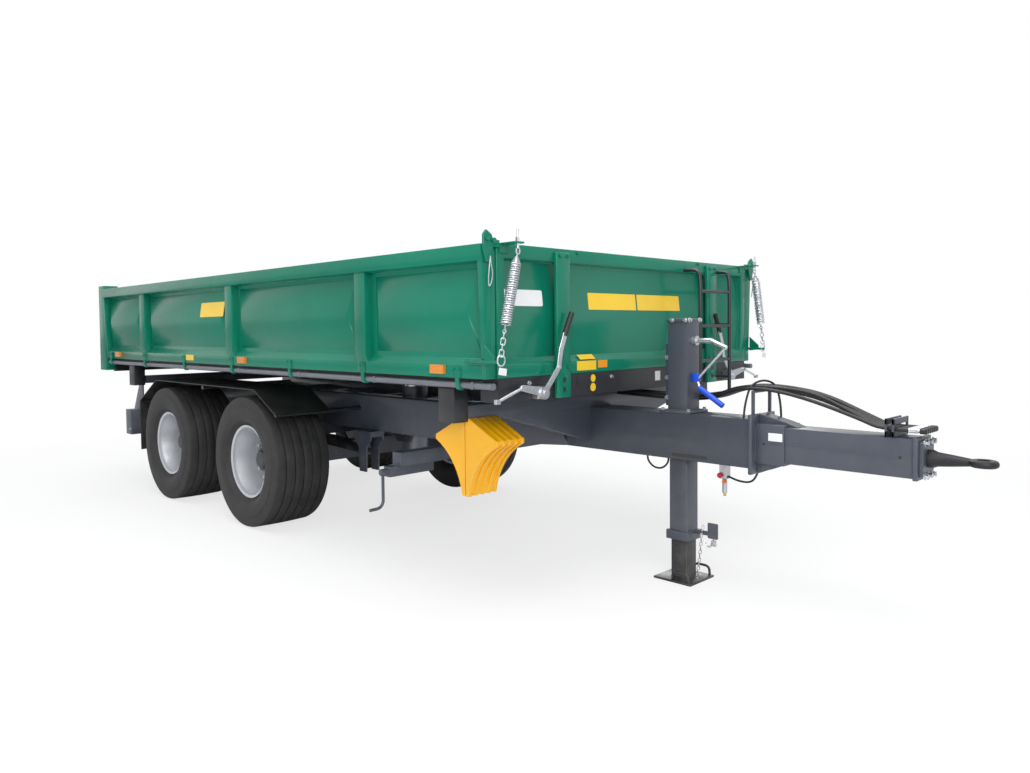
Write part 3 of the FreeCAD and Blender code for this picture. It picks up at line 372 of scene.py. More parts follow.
# Mesh tools
class Form:
    """A mesh under construction, in the trailer's own frame."""

    def __init__(self) -> None:
        """Start empty."""
        self.mesh = bmesh.new()

    def skin(self, rings: Sequence[Sequence[Sequence[float]]], bent: bool = False) -> "Form":
        """Join rings of places by faces and close both ends.

        Args:
            rings: the rings in order, each with as many places.
            bent: whether the ends aren't flat, so that they are cut into triangles.

        Returns:
            This form.
        """
        made = [[self.mesh.verts.new(p) for p in ring] for ring in rings]
        faces = [self.mesh.faces.new(made[0]), self.mesh.faces.new(made[-1])]
        for here, after in zip(made, made[1:]):
            for k in range(len(here)):
                n = (k + 1) % len(here)
                faces.append(self.mesh.faces.new((here[k], here[n], after[n], after[k])))
        if bent:
            bmesh.ops.triangulate(self.mesh, faces=faces[:2])
            faces = list(self.mesh.faces)
        bmesh.ops.recalc_face_normals(self.mesh, faces=faces)
        return self

    def prism(self, section: Sequence[Sequence[float]], low: float, high: float, axis: str) -> "Form":
        """Add a straight prism.

        Args:
            section: points in the plane across the axis, in the order of the other two letters.
            low: where it starts along the axis.
            high: where it ends.
            axis: X, Y or Z.

        Returns:
            This form.
        """
        order = {"X": (2, 0, 1), "Y": (0, 2, 1), "Z": (0, 1, 2)}[axis]
        return self.skin([[[(u, v, depth)[i] for i in order] for u, v in section] for depth in (low, high)])

    def block(self, low: Sequence[float], high: Sequence[float]) -> "Form":
        """Add a box between two corners."""
        (x0, y0, z0), (x1, y1, z1) = low, high
        return self.prism([(x0, y0), (x1, y0), (x1, y1), (x0, y1)], z0, z1, "Z")

    def lathe(self, profile: Sequence[Flat], centre: Vector, axis: Vector, steps: int = 24) -> "Form":
        """Add a turned shape.

        Args:
            profile: (radius, distance along the axis) points; closed if it starts off the axis.
            centre: where distance is 0.
            axis: direction of turning.
            steps: facets round.

        Returns:
            This form.
        """
        turn = axis.normalized().to_track_quat("Z", "Y").to_matrix()
        rings = []
        for k in range(steps):
            a = math.tau * k / steps
            places = [centre + turn @ Vector((r * math.cos(a), r * math.sin(a), h)) for r, h in profile]
            rings.append([self.mesh.verts.new(p) for p in places])
        count = len(profile)
        closed = profile[0][0] > 1e-6
        faces = []
        for k in range(steps):
            here, after = rings[k], rings[(k + 1) % steps]
            for j in range(count if closed else count - 1):
                n = (j + 1) % count
                faces.append(self.mesh.faces.new((here[j], here[n], after[n], after[j])))
        bmesh.ops.remove_doubles(self.mesh, verts=[v for ring in rings for v in ring], dist=1e-6)
        bmesh.ops.recalc_face_normals(self.mesh, faces=[f for f in faces if f.is_valid])
        return self

    def tube(self, route: Sequence[Vector], radius: float, sides: int = 10) -> "Form":
        """Add a round bar with flat ends.

        Args:
            route: the places of its middle line.
            radius: its radius.
            sides: facets round.

        Returns:
            This form.
        """
        rings = []
        guide = Vector((0, 0, 1))
        for k, p in enumerate(route):
            ahead = route[min(k + 1, len(route) - 1)] - route[max(k - 1, 0)]
            ahead.normalize()
            if abs(ahead.dot(guide)) > 0.95:
                guide = Vector((0, 1, 0)) if abs(ahead.y) < 0.9 else Vector((1, 0, 0))
            across = ahead.cross(guide).normalized()
            guide = across.cross(ahead).normalized()
            rings.append([p + across * (radius * math.cos(a)) + guide * (radius * math.sin(a))
                          for a in (math.tau * n / sides for n in range(sides))])
        return self.skin(rings)

    def slab(self, centre: Vector, normal: Vector, up: Vector, size: tuple[float, float],
             corner: float = 0.006, thickness: float = 0.0012) -> "Form":
        """Add a thin plate with rounded corners.

        Args:
            centre: the middle of its back.
            normal: the way that it faces.
            up: the way that its height points.
            size: its width and height.
            corner: radius of its corners.
            thickness: how thick it is.

        Returns:
            This form.
        """
        n = normal.normalized()
        u = (up - n * up.dot(n)).normalized()
        r = u.cross(n)
        points = rounded(-size[0] / 2, -size[1] / 2, size[0] / 2, size[1] / 2, corner)
        return self.skin([[centre + r * a + u * b + n * h for a, b in points] for h in (0, thickness)])

    def mirror(self) -> "Form":
        """Turn the form over to the trailer's other side."""
        bmesh.ops.scale(self.mesh, vec=(1, -1, 1), verts=self.mesh.verts)
        bmesh.ops.reverse_faces(self.mesh, faces=self.mesh.faces)
        return self

    def soften(self, width: float, segments: int = 2) -> "Form":
        """Round every sharp edge.

        Args:
            width: how far from the edge the rounding starts.
            segments: facets across it.

        Returns:
            This form.
        """
        edges = [e for e in self.mesh.edges if len(e.link_faces) == 2 and e.calc_face_angle() > 0.5]
        bmesh.ops.bevel(self.mesh, geom=edges, offset=width, segments=segments, profile=0.5,
                        affect="EDGES", clamp_overlap=True)
        return self

    def piece(self, name: str, finish: Finish, body: "Rides", smooth: float = 35) -> bpy.types.Object:
        """Finish the form as an object.

        Args:
            name: the object's name.
            finish: its finish.
            body: the body that it rides on.
            smooth: edges under this angle, in degrees, are shaded smooth.

        Returns:
            The object.
        """
        data = bpy.data.meshes.new(name)
        self.mesh.to_mesh(data)
        self.mesh.free()
        return place(name, data, finish, body, smooth)


@dataclass(frozen=True)
class Stretch:
    """A piece that lies between two bodies, from start to end; it is placed where it lies, attached to neither.
    """

    first: str
    second: str
    start: Vector
    end: Vector


Rides = Body | Stretch | str


def place(name: str, data: bpy.types.Mesh, finish: Finish, body: Rides,
          smooth: float = 35) -> bpy.types.Object:
    """Put a mesh in the scene.

    Args:
        name: the object's name.
        data: the mesh.
        finish: its finish.
        body: the body that it rides on, or the two that it lies between.
        smooth: edges under this angle, in degrees, are shaded smooth.

    Returns:
        The object.
    """
    made = bpy.data.objects.new(name, data)
    bpy.context.scene.collection.objects.link(made)
    data.materials.clear()
    data.materials.append(SHOP.get(finish))
    data.shade_smooth()
    data.set_sharp_from_angle(angle=math.radians(smooth))
    if isinstance(body, Stretch):
        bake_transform(made)
    else:
        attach(made, body.value if isinstance(body, Body) else body)
    return made


def rounded(u0: float, v0: float, u1: float, v1: float, radius: float, steps: int = 4) -> list[Flat]:
    """A rectangle's outline with rounded corners.

    Args:
        u0: low corner's first coordinate.
        v0: low corner's second coordinate.
        u1: high corner's first coordinate.
        v1: high corner's second coordinate.
        radius: radius of the corners.
        steps: facets in a corner.

    Returns:
        The outline's points.
    """
    corners = ((u1 - radius, v1 - radius, 0), (u0 + radius, v1 - radius, 1),
               (u0 + radius, v0 + radius, 2), (u1 - radius, v0 + radius, 3))
    turns = [(u, v, (q + k / steps) * math.pi / 2) for u, v, q in corners for k in range(steps + 1)]
    return [(u + radius * math.cos(a), v + radius * math.sin(a)) for u, v, a in turns]


def spot(x: float, y: float, z: float) -> Vector:
    """A place given in millimetres, x forward from midway between the axles."""
    return Vector((x * MM + AXLES, y * MM, z * MM))


@dataclass(frozen=True)
class Plan:
    """The trailer's main sizes and places in millimetres, x forward from midway between the axles."""

    half_spacing: float = 678.5
    wheel_z: float = 465.5
    wheel_side: float = 959.0
    wheel_disc: float = 960.0
    bed_rear: float = -1793.0
    bed_front: float = 3234.0
    wall_front: float = 3240.0
    front_pivot: float = 2890.0
    leg: float = 3505.0
    collar_front: float = 3970.0
    tongue_front: float = 4700.0
    eye: float = 4950.0
    hook_first: float = -1671.6
    hook_pitch: float = 784.5
    beam_top: float = 920.0
    sill_low: float = 1035.0
    side_low: float = 1151.5
    sill_top: float = 1214.5
    ledge: float = 1250.0
    fold: float = 1476.0
    rail_low: float = 1705.0
    side_top: float = 1782.0
    wall_top: float = 1790.0
    shaft_z: float = 1118.0
    shaft_y: float = 1225.0
    side_inner: float = 1180.0
    rail_out: float = 1243.5
    top_out: float = 1273.0
    spring_bar: float = 1255.7
    bar_z: float = 1235.0
    seat: float = 0.3

    def hooks(self) -> list[float]:
        """Places of the seven hooks along a side."""
        return [self.hook_first + k * self.hook_pitch for k in range(7)]


PLAN = Plan()


def outline(points: Sequence[Flat], steps: int = 8) -> list[Flat]:
    """Points of a line in a plane, where four numbers are an arc's end and a place that it passes.

    Args:
        points: pairs, or fours for arcs; the first is a pair.
        steps: facets in an arc.

    Returns:
        The points.
    """
    made = [tuple(points[0])]
    for p in points[1:]:
        made += [tuple(p)] if len(p) == 2 else arc(made[-1], p[2:], p[:2], steps)
    return made


def arc(start: Flat, through: Flat, end: Flat, steps: int) -> list[Flat]:
    """Points on the circle through three places.

    Args:
        start: where the arc starts.
        through: a place that it passes.
        end: where it ends.
        steps: facets in it.

    Returns:
        The points after start.
    """
    (ax, ay), (bx, by), (cx, cy) = start, through, end
    cross = 2 * (ax * (by - cy) + bx * (cy - ay) + cx * (ay - by))
    a, b, c = ax * ax + ay * ay, bx * bx + by * by, cx * cx + cy * cy
    ux = (a * (by - cy) + b * (cy - ay) + c * (ay - by)) / cross
    uy = (a * (cx - bx) + b * (ax - cx) + c * (bx - ax)) / cross
    radius = math.hypot(ax - ux, ay - uy)
    first, middle, last = (math.atan2(y - uy, x - ux) for x, y in (start, through, end))
    sweep = (last - first) % math.tau
    if (middle - first) % math.tau > sweep:
        sweep -= math.tau
    turns = [first + sweep * k / steps for k in range(1, steps + 1)]
    return [(ux + radius * math.cos(a), uy + radius * math.sin(a)) for a in turns]


def band(points: Sequence[Flat], width: float) -> list[Flat]:
    """The outline of a flat bar of even width.

    Args:
        points: the bar's middle line.
        width: the bar's width.

    Returns:
        The outline's points.
    """
    left, right = [], []
    for k, (u, v) in enumerate(points):
        before, after = points[max(k - 1, 0)], points[min(k + 1, len(points) - 1)]
        run = math.hypot(after[0] - before[0], after[1] - before[1])
        across = (-(after[1] - before[1]) * width / 2 / run, (after[0] - before[0]) * width / 2 / run)
        left.append((u + across[0], v + across[1]))
        right.append((u - across[0], v - across[1]))
    return left + right[::-1]


def soft_path(points: Sequence[Sequence[float]], bend: float, steps: int = 6) -> list[Vector]:
    """The middle line of a bent bar or stiff wire.

    Args:
        points: its ends and corners.
        bend: how far from a corner its bend starts.
        steps: facets in a bend.

    Returns:
        The line's points.
    """
    points = [Vector(p) for p in points]
    made = [points[0]]
    for before, corner, after in zip(points, points[1:], points[2:]):
        a = corner + (before - corner).normalized() * min(bend, (before - corner).length * 0.48)
        b = corner + (after - corner).normalized() * min(bend, (after - corner).length * 0.48)
        shares = [k / steps for k in range(steps + 1)]
        made += [a * (1 - t) ** 2 + corner * (2 * t * (1 - t)) + b * t * t for t in shares]
    return made + [points[-1]]


class Draft(Form):
    """A form drawn in millimetres, x forward from midway between the axles."""

    def box(self, start: Point, size: Point) -> "Draft":
        """Add a box from its low corner and its three lengths."""
        self.block(start, [a + b for a, b in zip(start, size)])
        return self

    def rod(self, start: Point, end: Point, radius: float, sides: int = 20) -> "Draft":
        """Add a round bar between two places."""
        self.tube([Vector(start), Vector(end)], radius, sides)
        return self

    def pad(self, axis: str, points: Sequence[Flat], low: float, length: float) -> "Draft":
        """Add a plate from its outline across an axis."""
        self.prism(outline(points), low, low + length, axis)
        return self

    def swept(self, points: Sequence[Point], radius: float, bend: float = 60, sides: int = 14) -> "Draft":
        """Add a bent round bar."""
        self.tube(soft_path(points, bend), radius, sides)
        return self

    def piece(self, name: str, finish: Finish, body: Rides, smooth: float = 35) -> bpy.types.Object:
        """Bring the form to metres and its place on the trailer, and finish it as Form does."""
        bmesh.ops.scale(self.mesh, vec=(MM, MM, MM), verts=self.mesh.verts)
        bmesh.ops.translate(self.mesh, vec=(AXLES, 0, 0), verts=self.mesh.verts)
        return super().piece(name, finish, body, smooth)


# Geometry nodes
class Tree:
    """A Geometry Nodes tree with named sizes."""

    def __init__(self, name: str, sizes: dict[str, float]) -> None:
        """Start a tree.

        Args:
            name: the tree's name.
            sizes: named number inputs and their values.
        """
        self.tree = bpy.data.node_groups.new(name, "GeometryNodeTree")
        self.tree.interface.new_socket(name="Geometry", in_out="INPUT", socket_type="NodeSocketGeometry")
        self.sizes = sizes
        self.keys = {}
        for label, value in sizes.items():
            kind = "NodeSocketInt" if isinstance(value, int) else "NodeSocketFloat"
            socket = self.tree.interface.new_socket(name=label, in_out="INPUT", socket_type=kind)
            socket.default_value = value
            self.keys[label] = socket.identifier
        self.tree.interface.new_socket(name="Geometry", in_out="OUTPUT", socket_type="NodeSocketGeometry")
        self.entry = self.tree.nodes.new("NodeGroupInput")
        self.exit = self.tree.nodes.new("NodeGroupOutput")

    def node(self, kind: str, settings: dict, inputs: dict) -> bpy.types.Node:
        """Add a node.

        Args:
            kind: the node's type.
            settings: properties, set before its sockets.
            inputs: socket name or number to a value, a link or a size's name.

        Returns:
            The node.
        """
        made = self.tree.nodes.new(kind)
        for name, value in settings.items():
            setattr(made, name, value)
        for name, value in inputs.items():
            if isinstance(value, bpy.types.NodeSocket):
                self.tree.links.new(value, made.inputs[name])
            elif isinstance(value, str) and value in self.keys:
                self.tree.links.new(self.entry.outputs[value], made.inputs[name])
            else:
                made.inputs[name].default_value = value
        return made

    def end(self, shape: bpy.types.NodeSocket, finish: Finish) -> None:
        """Close the tree with real geometry and one material.

        Args:
            shape: the geometry.
            finish: its finish.
        """
        real = self.node("GeometryNodeRealizeInstances", {}, {0: shape})
        dressed = self.node("GeometryNodeSetMaterial", {}, {0: real.outputs[0], "Material": SHOP.get(finish)})
        self.tree.links.new(dressed.outputs[0], self.exit.inputs[0])

    def run(self, name: str, source: bpy.types.Mesh, finish: Finish, body: Rides) -> bpy.types.Object:
        """Apply the tree to a mesh and place the result as a plain piece.

        Args:
            name: the piece's name.
            source: the mesh that the tree starts from.
            finish: the piece's finish.
            body: the body that it rides on.

        Returns:
            The piece.
        """
        holder = bpy.data.objects.new(name + "_source", source)
        bpy.context.scene.collection.objects.link(holder)
        modifier = holder.modifiers.new("nodes", "NODES")
        modifier.node_group = self.tree
        for label, value in self.sizes.items():
            modifier[self.keys[label]] = value
        depsgraph = bpy.context.evaluated_depsgraph_get()
        data = bpy.data.meshes.new_from_object(holder.evaluated_get(depsgraph))
        bpy.data.objects.remove(holder)
        data.name = name
        return place(name, data, finish, body, 40)


def seeds(points: Sequence[tuple[Vector, Vector]]) -> bpy.types.Mesh:
    """A mesh of loose points that know which way they face.

    Args:
        points: each point and the way that it faces.

    Returns:
        The mesh.
    """
    data = bpy.data.meshes.new("seeds")
    data.from_pydata([tuple(p) for p, aim in points], [], [])
    aims = data.attributes.new("aim", "FLOAT_VECTOR", "POINT")
    aims.data.foreach_set("vector", [c for p, aim in points for c in aim])
    return data


@dataclass
class Bolts:
    """Hexagon heads with washers, one tree for every size."""

    across: float
    height: float
    washer: float = 1.35
    washer_height: float = 0.22
    lift: float = 0.6

    def build(self, name: str, points: Sequence[tuple[Vector, Vector]], body: Body | str,
              finish: Finish = Finish.ZINC) -> bpy.types.Object:
        """Set a bolt head at each point.

        Args:
            name: the piece's name.
            points: seat of each head and the way it faces.
            body: the body that they ride on.
            finish: their finish.

        Returns:
            The piece.
        """
        radius = self.across / 2
        sizes = {"Head radius": radius, "Head height": self.height,
                 "Washer radius": radius * self.washer, "Washer height": self.height * self.washer_height}
        tree = Tree("bolt_heads", sizes)
        solids = []
        for facets, part in ((6, "Head"), (16, "Washer")):
            sizes = {"Vertices": facets, "Radius": part + " radius", "Depth": part + " height"}
            solids.append(tree.node("GeometryNodeMeshCylinder", {}, sizes))
        head, disc = solids
        up = tree.node("ShaderNodeCombineXYZ", {}, {"Z": self.height * self.lift})
        sockets = {"Geometry": head.outputs["Mesh"], "Translation": up.outputs[0]}
        lifted = tree.node("GeometryNodeTransform", {}, sockets)
        joined = tree.node("GeometryNodeJoinGeometry", {}, {})
        tree.tree.links.new(lifted.outputs[0], joined.inputs[0])
        tree.tree.links.new(disc.outputs["Mesh"], joined.inputs[0])
        aim = tree.node("GeometryNodeInputNamedAttribute", {"data_type": "FLOAT_VECTOR"}, {"Name": "aim"})
        turn = tree.node("FunctionNodeAlignRotationToVector", {"axis": "Z"}, {"Vector": aim.outputs[0]})
        sockets = {"Points": tree.entry.outputs[0], "Instance": joined.outputs[0],
                   "Rotation": turn.outputs[0]}
        copies = tree.node("GeometryNodeInstanceOnPoints", {}, sockets)
        tree.end(copies.outputs[0], finish)
        return tree.run(name, seeds(points), finish, body)


@dataclass(frozen=True)
class Wires:
    """Round wire, rod or hose along routes, one tree for every size."""

    radius: float
    sides: int = 10

    def build(self, name: str, routes: Sequence[Sequence[Vector]], finish: Finish,
              body: Rides) -> bpy.types.Object:
        """Lay wire along each route.

        Args:
            name: the piece's name.
            routes: lines of points; one that ends where it starts is closed.
            finish: the wire's finish.
            body: the body that it rides on.

        Returns:
            The piece.
        """
        places, edges = [], []
        for route in routes:
            closed = (route[0] - route[-1]).length < 1e-6
            kept = route[:-1] if closed else route
            first = len(places)
            places += [tuple(p) for p in kept]
            edges += [(first + k, first + k + 1) for k in range(len(kept) - 1)]
            edges += [(first + len(kept) - 1, first)] if closed else []
        data = bpy.data.meshes.new(name + "_lines")
        data.from_pydata(places, edges, [])
        tree = Tree("wires", {"Wire radius": self.radius, "Wire sides": self.sides})
        line = tree.node("GeometryNodeMeshToCurve", {}, {0: tree.entry.outputs[0]})
        sizes = {"Resolution": "Wire sides", "Radius": "Wire radius"}
        ring = tree.node("GeometryNodeCurvePrimitiveCircle", {}, sizes)
        sockets = {"Curve": line.outputs[0], "Profile Curve": ring.outputs[0], "Fill Caps": True}
        skin = tree.node("GeometryNodeCurveToMesh", {}, sockets)
        tree.end(skin.outputs[0], finish)
        return tree.run(name, data, finish, body)


def coil(top: Vector, foot: Vector, turns: int, radius: float) -> list[Vector]:
    """A coil's route from its hook down.

    Args:
        top: where it starts.
        foot: where it ends.
        turns: number of turns.
        radius: its radius after the first turns, which widen.

    Returns:
        The route.
    """
    lead, per_turn = 3.0, 18
    axis = foot - top
    turn = axis.to_track_quat("Z", "Y").to_matrix()
    route = []
    for k in range(turns * per_turn + 1):
        done = k / per_turn
        wide = radius * min(1.0, 0.3 + 0.7 * done / lead)
        a = math.tau * done
        fall = axis.length * done / turns
        route.append(top + turn @ Vector((wide * math.cos(a), wide * math.sin(a), fall)))
    return route


def oval(centre: Vector, along: Vector, across: Vector, length: float, width: float,
         steps: int = 18) -> list[Vector]:
    """A closed oval route.

    Args:
        centre: its middle.
        along: the way of its length.
        across: the way of its width.
        length: its length.
        width: its width.
        steps: facets round.

    Returns:
        The route, which ends where it starts.
    """
    straight = (length - width) / 2
    made = []
    for k in range(steps):
        a = math.tau * (k + 0.5) / steps
        made.append(centre + along * (width / 2 * math.cos(a) + math.copysign(straight, math.cos(a)))
                    + across * (width / 2 * math.sin(a)))
    return made + [made[0]]


def chain(route: Sequence[Vector], length: float, width: float, wire: float) -> list[list[Vector]]:
    """Closed routes of a chain's links, each a quarter turn from the last.

    Args:
        route: the line that the chain follows.
        length: a link's length over its wire's middle.
        width: its width over the wire's middle.
        wire: the wire's radius.

    Returns:
        The links' routes.
    """
    made = []
    for start, end in zip(route, route[1:]):
        count = max(1, round((end - start).length / (length - 2 * wire)))
        along = (end - start).normalized()
        side = along.orthogonal().normalized()
        for k in range(count):
            turned = side if (len(made) % 2) else along.cross(side)
            made.append(oval(start + (end - start) * ((k + 0.5) / count), along, turned, length, width))
    return made


# Dressing of the CAD nodes
@dataclass
class Dressing:
    """Finishes of the CAD nodes, and soft edges on those that show."""

    finishes: dict[Finish, tuple[str, ...]] = field(default_factory=lambda: {
        Finish.GREEN: ("side_wall_", "side_hooks_", "bed_front_wall", "front_posts", "rear_corner_posts",
                       "tailboard", "bed_floor", "corner_latches", "spring_brackets"),
        Finish.DARK: ("bed_subframe", "bed_pivot_posts", "leg_foot", "leaf_springs", "towing_eye"),
        Finish.ZINC: ("toggle_levers", "counter_spring_", "leg_crank"),
        Finish.BAR: ("locking_shafts", "cylinder_barrel"),
        Finish.CHROME: ("cylinder_stage",),
        Finish.RIM: ("rim_",),
        Finish.TYRE: ("tyre_",),
        Finish.HOSE: ("service_hoses",),
        Finish.PLASTIC: ("mudguards",),
        Finish.YELLOW: ("wheel_chocks",),
        Finish.AMBER_LENS: ("side_markers_",),
        Finish.RED_LENS: ("rear_lamps",),
    })
    soft: dict[str, float] = field(default_factory=lambda: {
        "bed_front_wall": 0.004, "front_posts": 0.004, "rear_corner_posts": 0.004, "tailboard": 0.004,
        "frame_beam": 0.006, "drawbar_": 0.005, "leg_housing": 0.004, "leg_sleeve": 0.004, "leg_foot": 0.003,
        "bed_pivot_posts": 0.003, "tipping_bearers": 0.004, "parking_brake": 0.003, "lamp_carrier": 0.003,
    })

    def finish_of(self, node: str) -> Finish:
        """The finish of a node, by the start of its name."""
        return next((f for f, starts in self.finishes.items() if node.startswith(starts)), Finish.SLATE)

    def dress(self) -> None:
        """Give every node its finish; those in soft get a copy with rounded edges."""
        for node in sorted(frame["nodes"]):
            body = next(b for b, names in frame["record"]["behaviour"]["bodies"].items() if node in names)
            finish = self.finish_of(node)
            source = bpy.data.objects[node]
            width = next((w for key, w in self.soft.items() if node.startswith(key)), 0.0)
            source.data.materials.clear()
            source.data.materials.append(SHOP.get(finish))
            if width:
                self.soften(source, node, body, finish, width)

    def soften(self, source: bpy.types.Object, node: str, body: str, finish: Finish, width: float) -> None:
        """Replace a node by a copy whose edges are rounded.

        Args:
            source: the node's object.
            node: the node's name.
            body: the body that it rides on.
            finish: its finish.
            width: how far from an edge its rounding starts.
        """
        form = Form()
        form.mesh.from_mesh(source.data)
        bmesh.ops.remove_doubles(form.mesh, verts=form.mesh.verts, dist=1e-5)
        bmesh.ops.dissolve_limit(form.mesh, angle_limit=0.02, verts=form.mesh.verts, edges=form.mesh.edges)
        form.soften(width)
        piece = form.piece("soft_" + node, finish, body)
        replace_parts(piece, node)


# Sub-assemblies
@dataclass
class Wheels:
    """Treaded tyres, deep rims and wheel nuts of the four wheels."""

    rim_half: float = 178.0
    rim_lip: float = 260.0
    bead_seat: float = 247.0
    rim_well: float = 225.0
    rim_wall: float = 8.0
    drum_back: float = 716.0
    tyre_bead: float = 0.2605
    shy: float = 0.0005
    grooves: int = 5
    groove_width: float = 0.008
    groove_depth: float = 0.009
    nuts: int = 10
    nut_seat: float = 6.5
    nut_circle: float = 0.1425

    def build(self) -> None:
        """Dress each wheel."""
        for end in ("front", "rear"):
            for hand, side, _ in SIDES:
                self.tyre(end, hand)
                self.rim(end, hand, side)
                self.nuts_on(end, hand, side)

    def profile(self, half: float, bead: float, radius: float) -> list[Flat]:
        """A tyre's section.

        Args:
            half: half its width.
            bead: its inner radius.
            radius: its outer radius.

        Returns:
            Its line from bead to bead with the grooves, and back inside.
        """
        tread = half - 0.022
        points = [(bead, -half + 0.053), (bead + 0.014, -half + 0.041), (bead + 0.03, -half + 0.018),
                  (bead + 0.034, -half + 0.017), (bead + 0.05, -half + 0.007), (bead + 0.075, -half + 0.001),
                  (bead + 0.1, -half + 0.0005), (radius - 0.07, -half + 0.004),
                  (radius - 0.066, -half + 0.008), (radius - 0.035, -half + 0.012),
                  (radius - 0.02, -half + 0.016), (radius - 0.009, -tread - 0.002),
                  (radius - 0.004, -tread + 0.012)]
        flank = list(points)
        pitch = 2 * (tread - 0.03) / self.grooves
        for k in range(self.grooves):
            centre = -tread + 0.03 + pitch * (k + 0.5)
            w = self.groove_width / 2
            crown = radius - 0.003 * abs(centre / half) ** 2 * 2
            deep = crown - self.groove_depth
            points += [(crown, centre - w - 0.002), (crown - 0.001, centre - w), (deep, centre - w * 0.55),
                       (deep, centre + w * 0.55), (crown - 0.001, centre + w), (crown, centre + w + 0.002)]
        last = [(r, -h) for r, h in reversed(flank)]
        inner = [(bead, half - 0.075), (bead + 0.1, half - 0.1), (bead + 0.1, -half + 0.1),
                 (bead, -half + 0.075)]
        return points + last + inner

    def tyre(self, end: str, hand: str) -> None:
        """Replace a CAD tyre by one with its tread.

        Args:
            end: front or rear.
            hand: right or left.
        """
        node = "tyre_%s_%s" % (end, hand)
        low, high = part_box(node)
        centre = (Vector(low) + Vector(high)) / 2
        half = (high[1] - low[1]) / 2
        radius = (high[2] - low[2]) / 2
        section = self.profile(half - self.shy, self.tyre_bead, radius - self.shy)
        form = Form().lathe(section, centre, LEFT, 96)
        piece = form.piece("treaded_" + node, Finish.TYRE, "wheel_%s_%s" % (end, hand), 28)
        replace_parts(piece, node)

    def rim(self, end: str, hand: str, side: int) -> None:
        """A well-base rim with its disc, dark drum and hub, which stands in for the CAD rim; the disc wears a
        darker copy of the rim silver as painted shade.

        Args:
            end: front or rear.
            hand: right or left.
            side: -1 right, 1 left.
        """
        node = "rim_%s_%s" % (end, hand)
        body = "wheel_%s_%s" % (end, hand)
        x = PLAN.half_spacing if end == "front" else -PLAN.half_spacing
        disc, seat, well, lip = PLAN.wheel_disc, self.bead_seat, self.rim_well, self.rim_lip
        back, front = PLAN.wheel_side - self.rim_half, PLAN.wheel_side + self.rim_half
        thin_seat, thin_well = seat - self.rim_wall, well - self.rim_wall
        rim = [(thin_seat, back), (lip, back), (lip, back + 8), (seat, back + 12), (seat, back + 32),
               (well, back + 62), (well, front - 75), (seat, front - 35), (seat, front - 12),
               (lip - 3, front - 9), (lip, front - 5), (lip - 2, front), (lip - 7, front),
               (thin_seat + 1, front - 6), (thin_seat - 1, front - 33), (thin_well, front - 72),
               (thin_well, back + 60), (thin_seat, back + 30)]
        face = [(62, disc - 14), (198, disc - 14), (thin_well + 1, disc - 6), (thin_well + 1, disc + 6),
                (200, disc - 2), (186, disc), (140, disc + 6), (112, disc + 12), (90, disc + 4),
                (62, disc + 4)]
        hub = [(0, disc - 20), (88, disc - 20), (88, disc + 24), (84, disc + 60), (66, disc + 62),
               (62, disc + 80), (52, disc + 86), (0, disc + 86)]
        drum = [(0, self.drum_back), (205, self.drum_back), (205, disc - 15), (0, disc - 15)]
        centre, axis = Vector((x, 0, PLAN.wheel_z)), Vector((0, side, 0))
        made = Draft()
        made.lathe(rim, centre, axis, 96)
        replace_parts(made.piece("bright_" + node, Finish.RIM, body, 30), node)
        # the disc takes the darker copy of the rim silver, painted shade for its place deep inside the barrel
        parts = (("disc", face, Finish.RIM_DISC_SHADED), ("hub", hub, Finish.DARK), ("drum", drum, Finish.DARK))
        for name, profile, finish in parts:
            made = Draft()
            made.lathe(profile, centre, axis, 64)
            made.piece("wheel_%s_%s_%s" % (name, end, hand), finish, body, 30)
        z = PLAN.wheel_z
        valve = Draft().rod((x, side * (disc + 6), z + 190), (x, side * (disc + 52), z + 202), 5, 10)
        valve.piece("valve_stem_%s_%s" % (end, hand), Finish.GRIP, body)

    def nuts_on(self, end: str, hand: str, side: int) -> None:
        """Set the wheel nuts on their circle.

        Args:
            end: front or rear.
            hand: right or left.
            side: -1 right, 1 left.
        """
        low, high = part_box("rim_%s_%s" % (end, hand))
        x, z = (low[0] + high[0]) / 2, (low[2] + high[2]) / 2
        y = side * (PLAN.wheel_disc + self.nut_seat) * MM
        points = []
        for k in range(self.nuts):
            a = math.tau * k / self.nuts
            seat = Vector((x + self.nut_circle * math.cos(a), y, z + self.nut_circle * math.sin(a)))
            points.append((seat, Vector((0, side, 0))))
        Bolts(0.03, 0.024).build("wheel_nuts_%s_%s" % (end, hand), points, "wheel_%s_%s" % (end, hand))


def handed(form: Draft, side: int) -> Draft:
    """A form drawn for the right side, turned over for the left.

    Args:
        form: the form.
        side: -1 right, 1 left.

    Returns:
        The same form.
    """
    if side > 0:
        form.mirror()
    return form


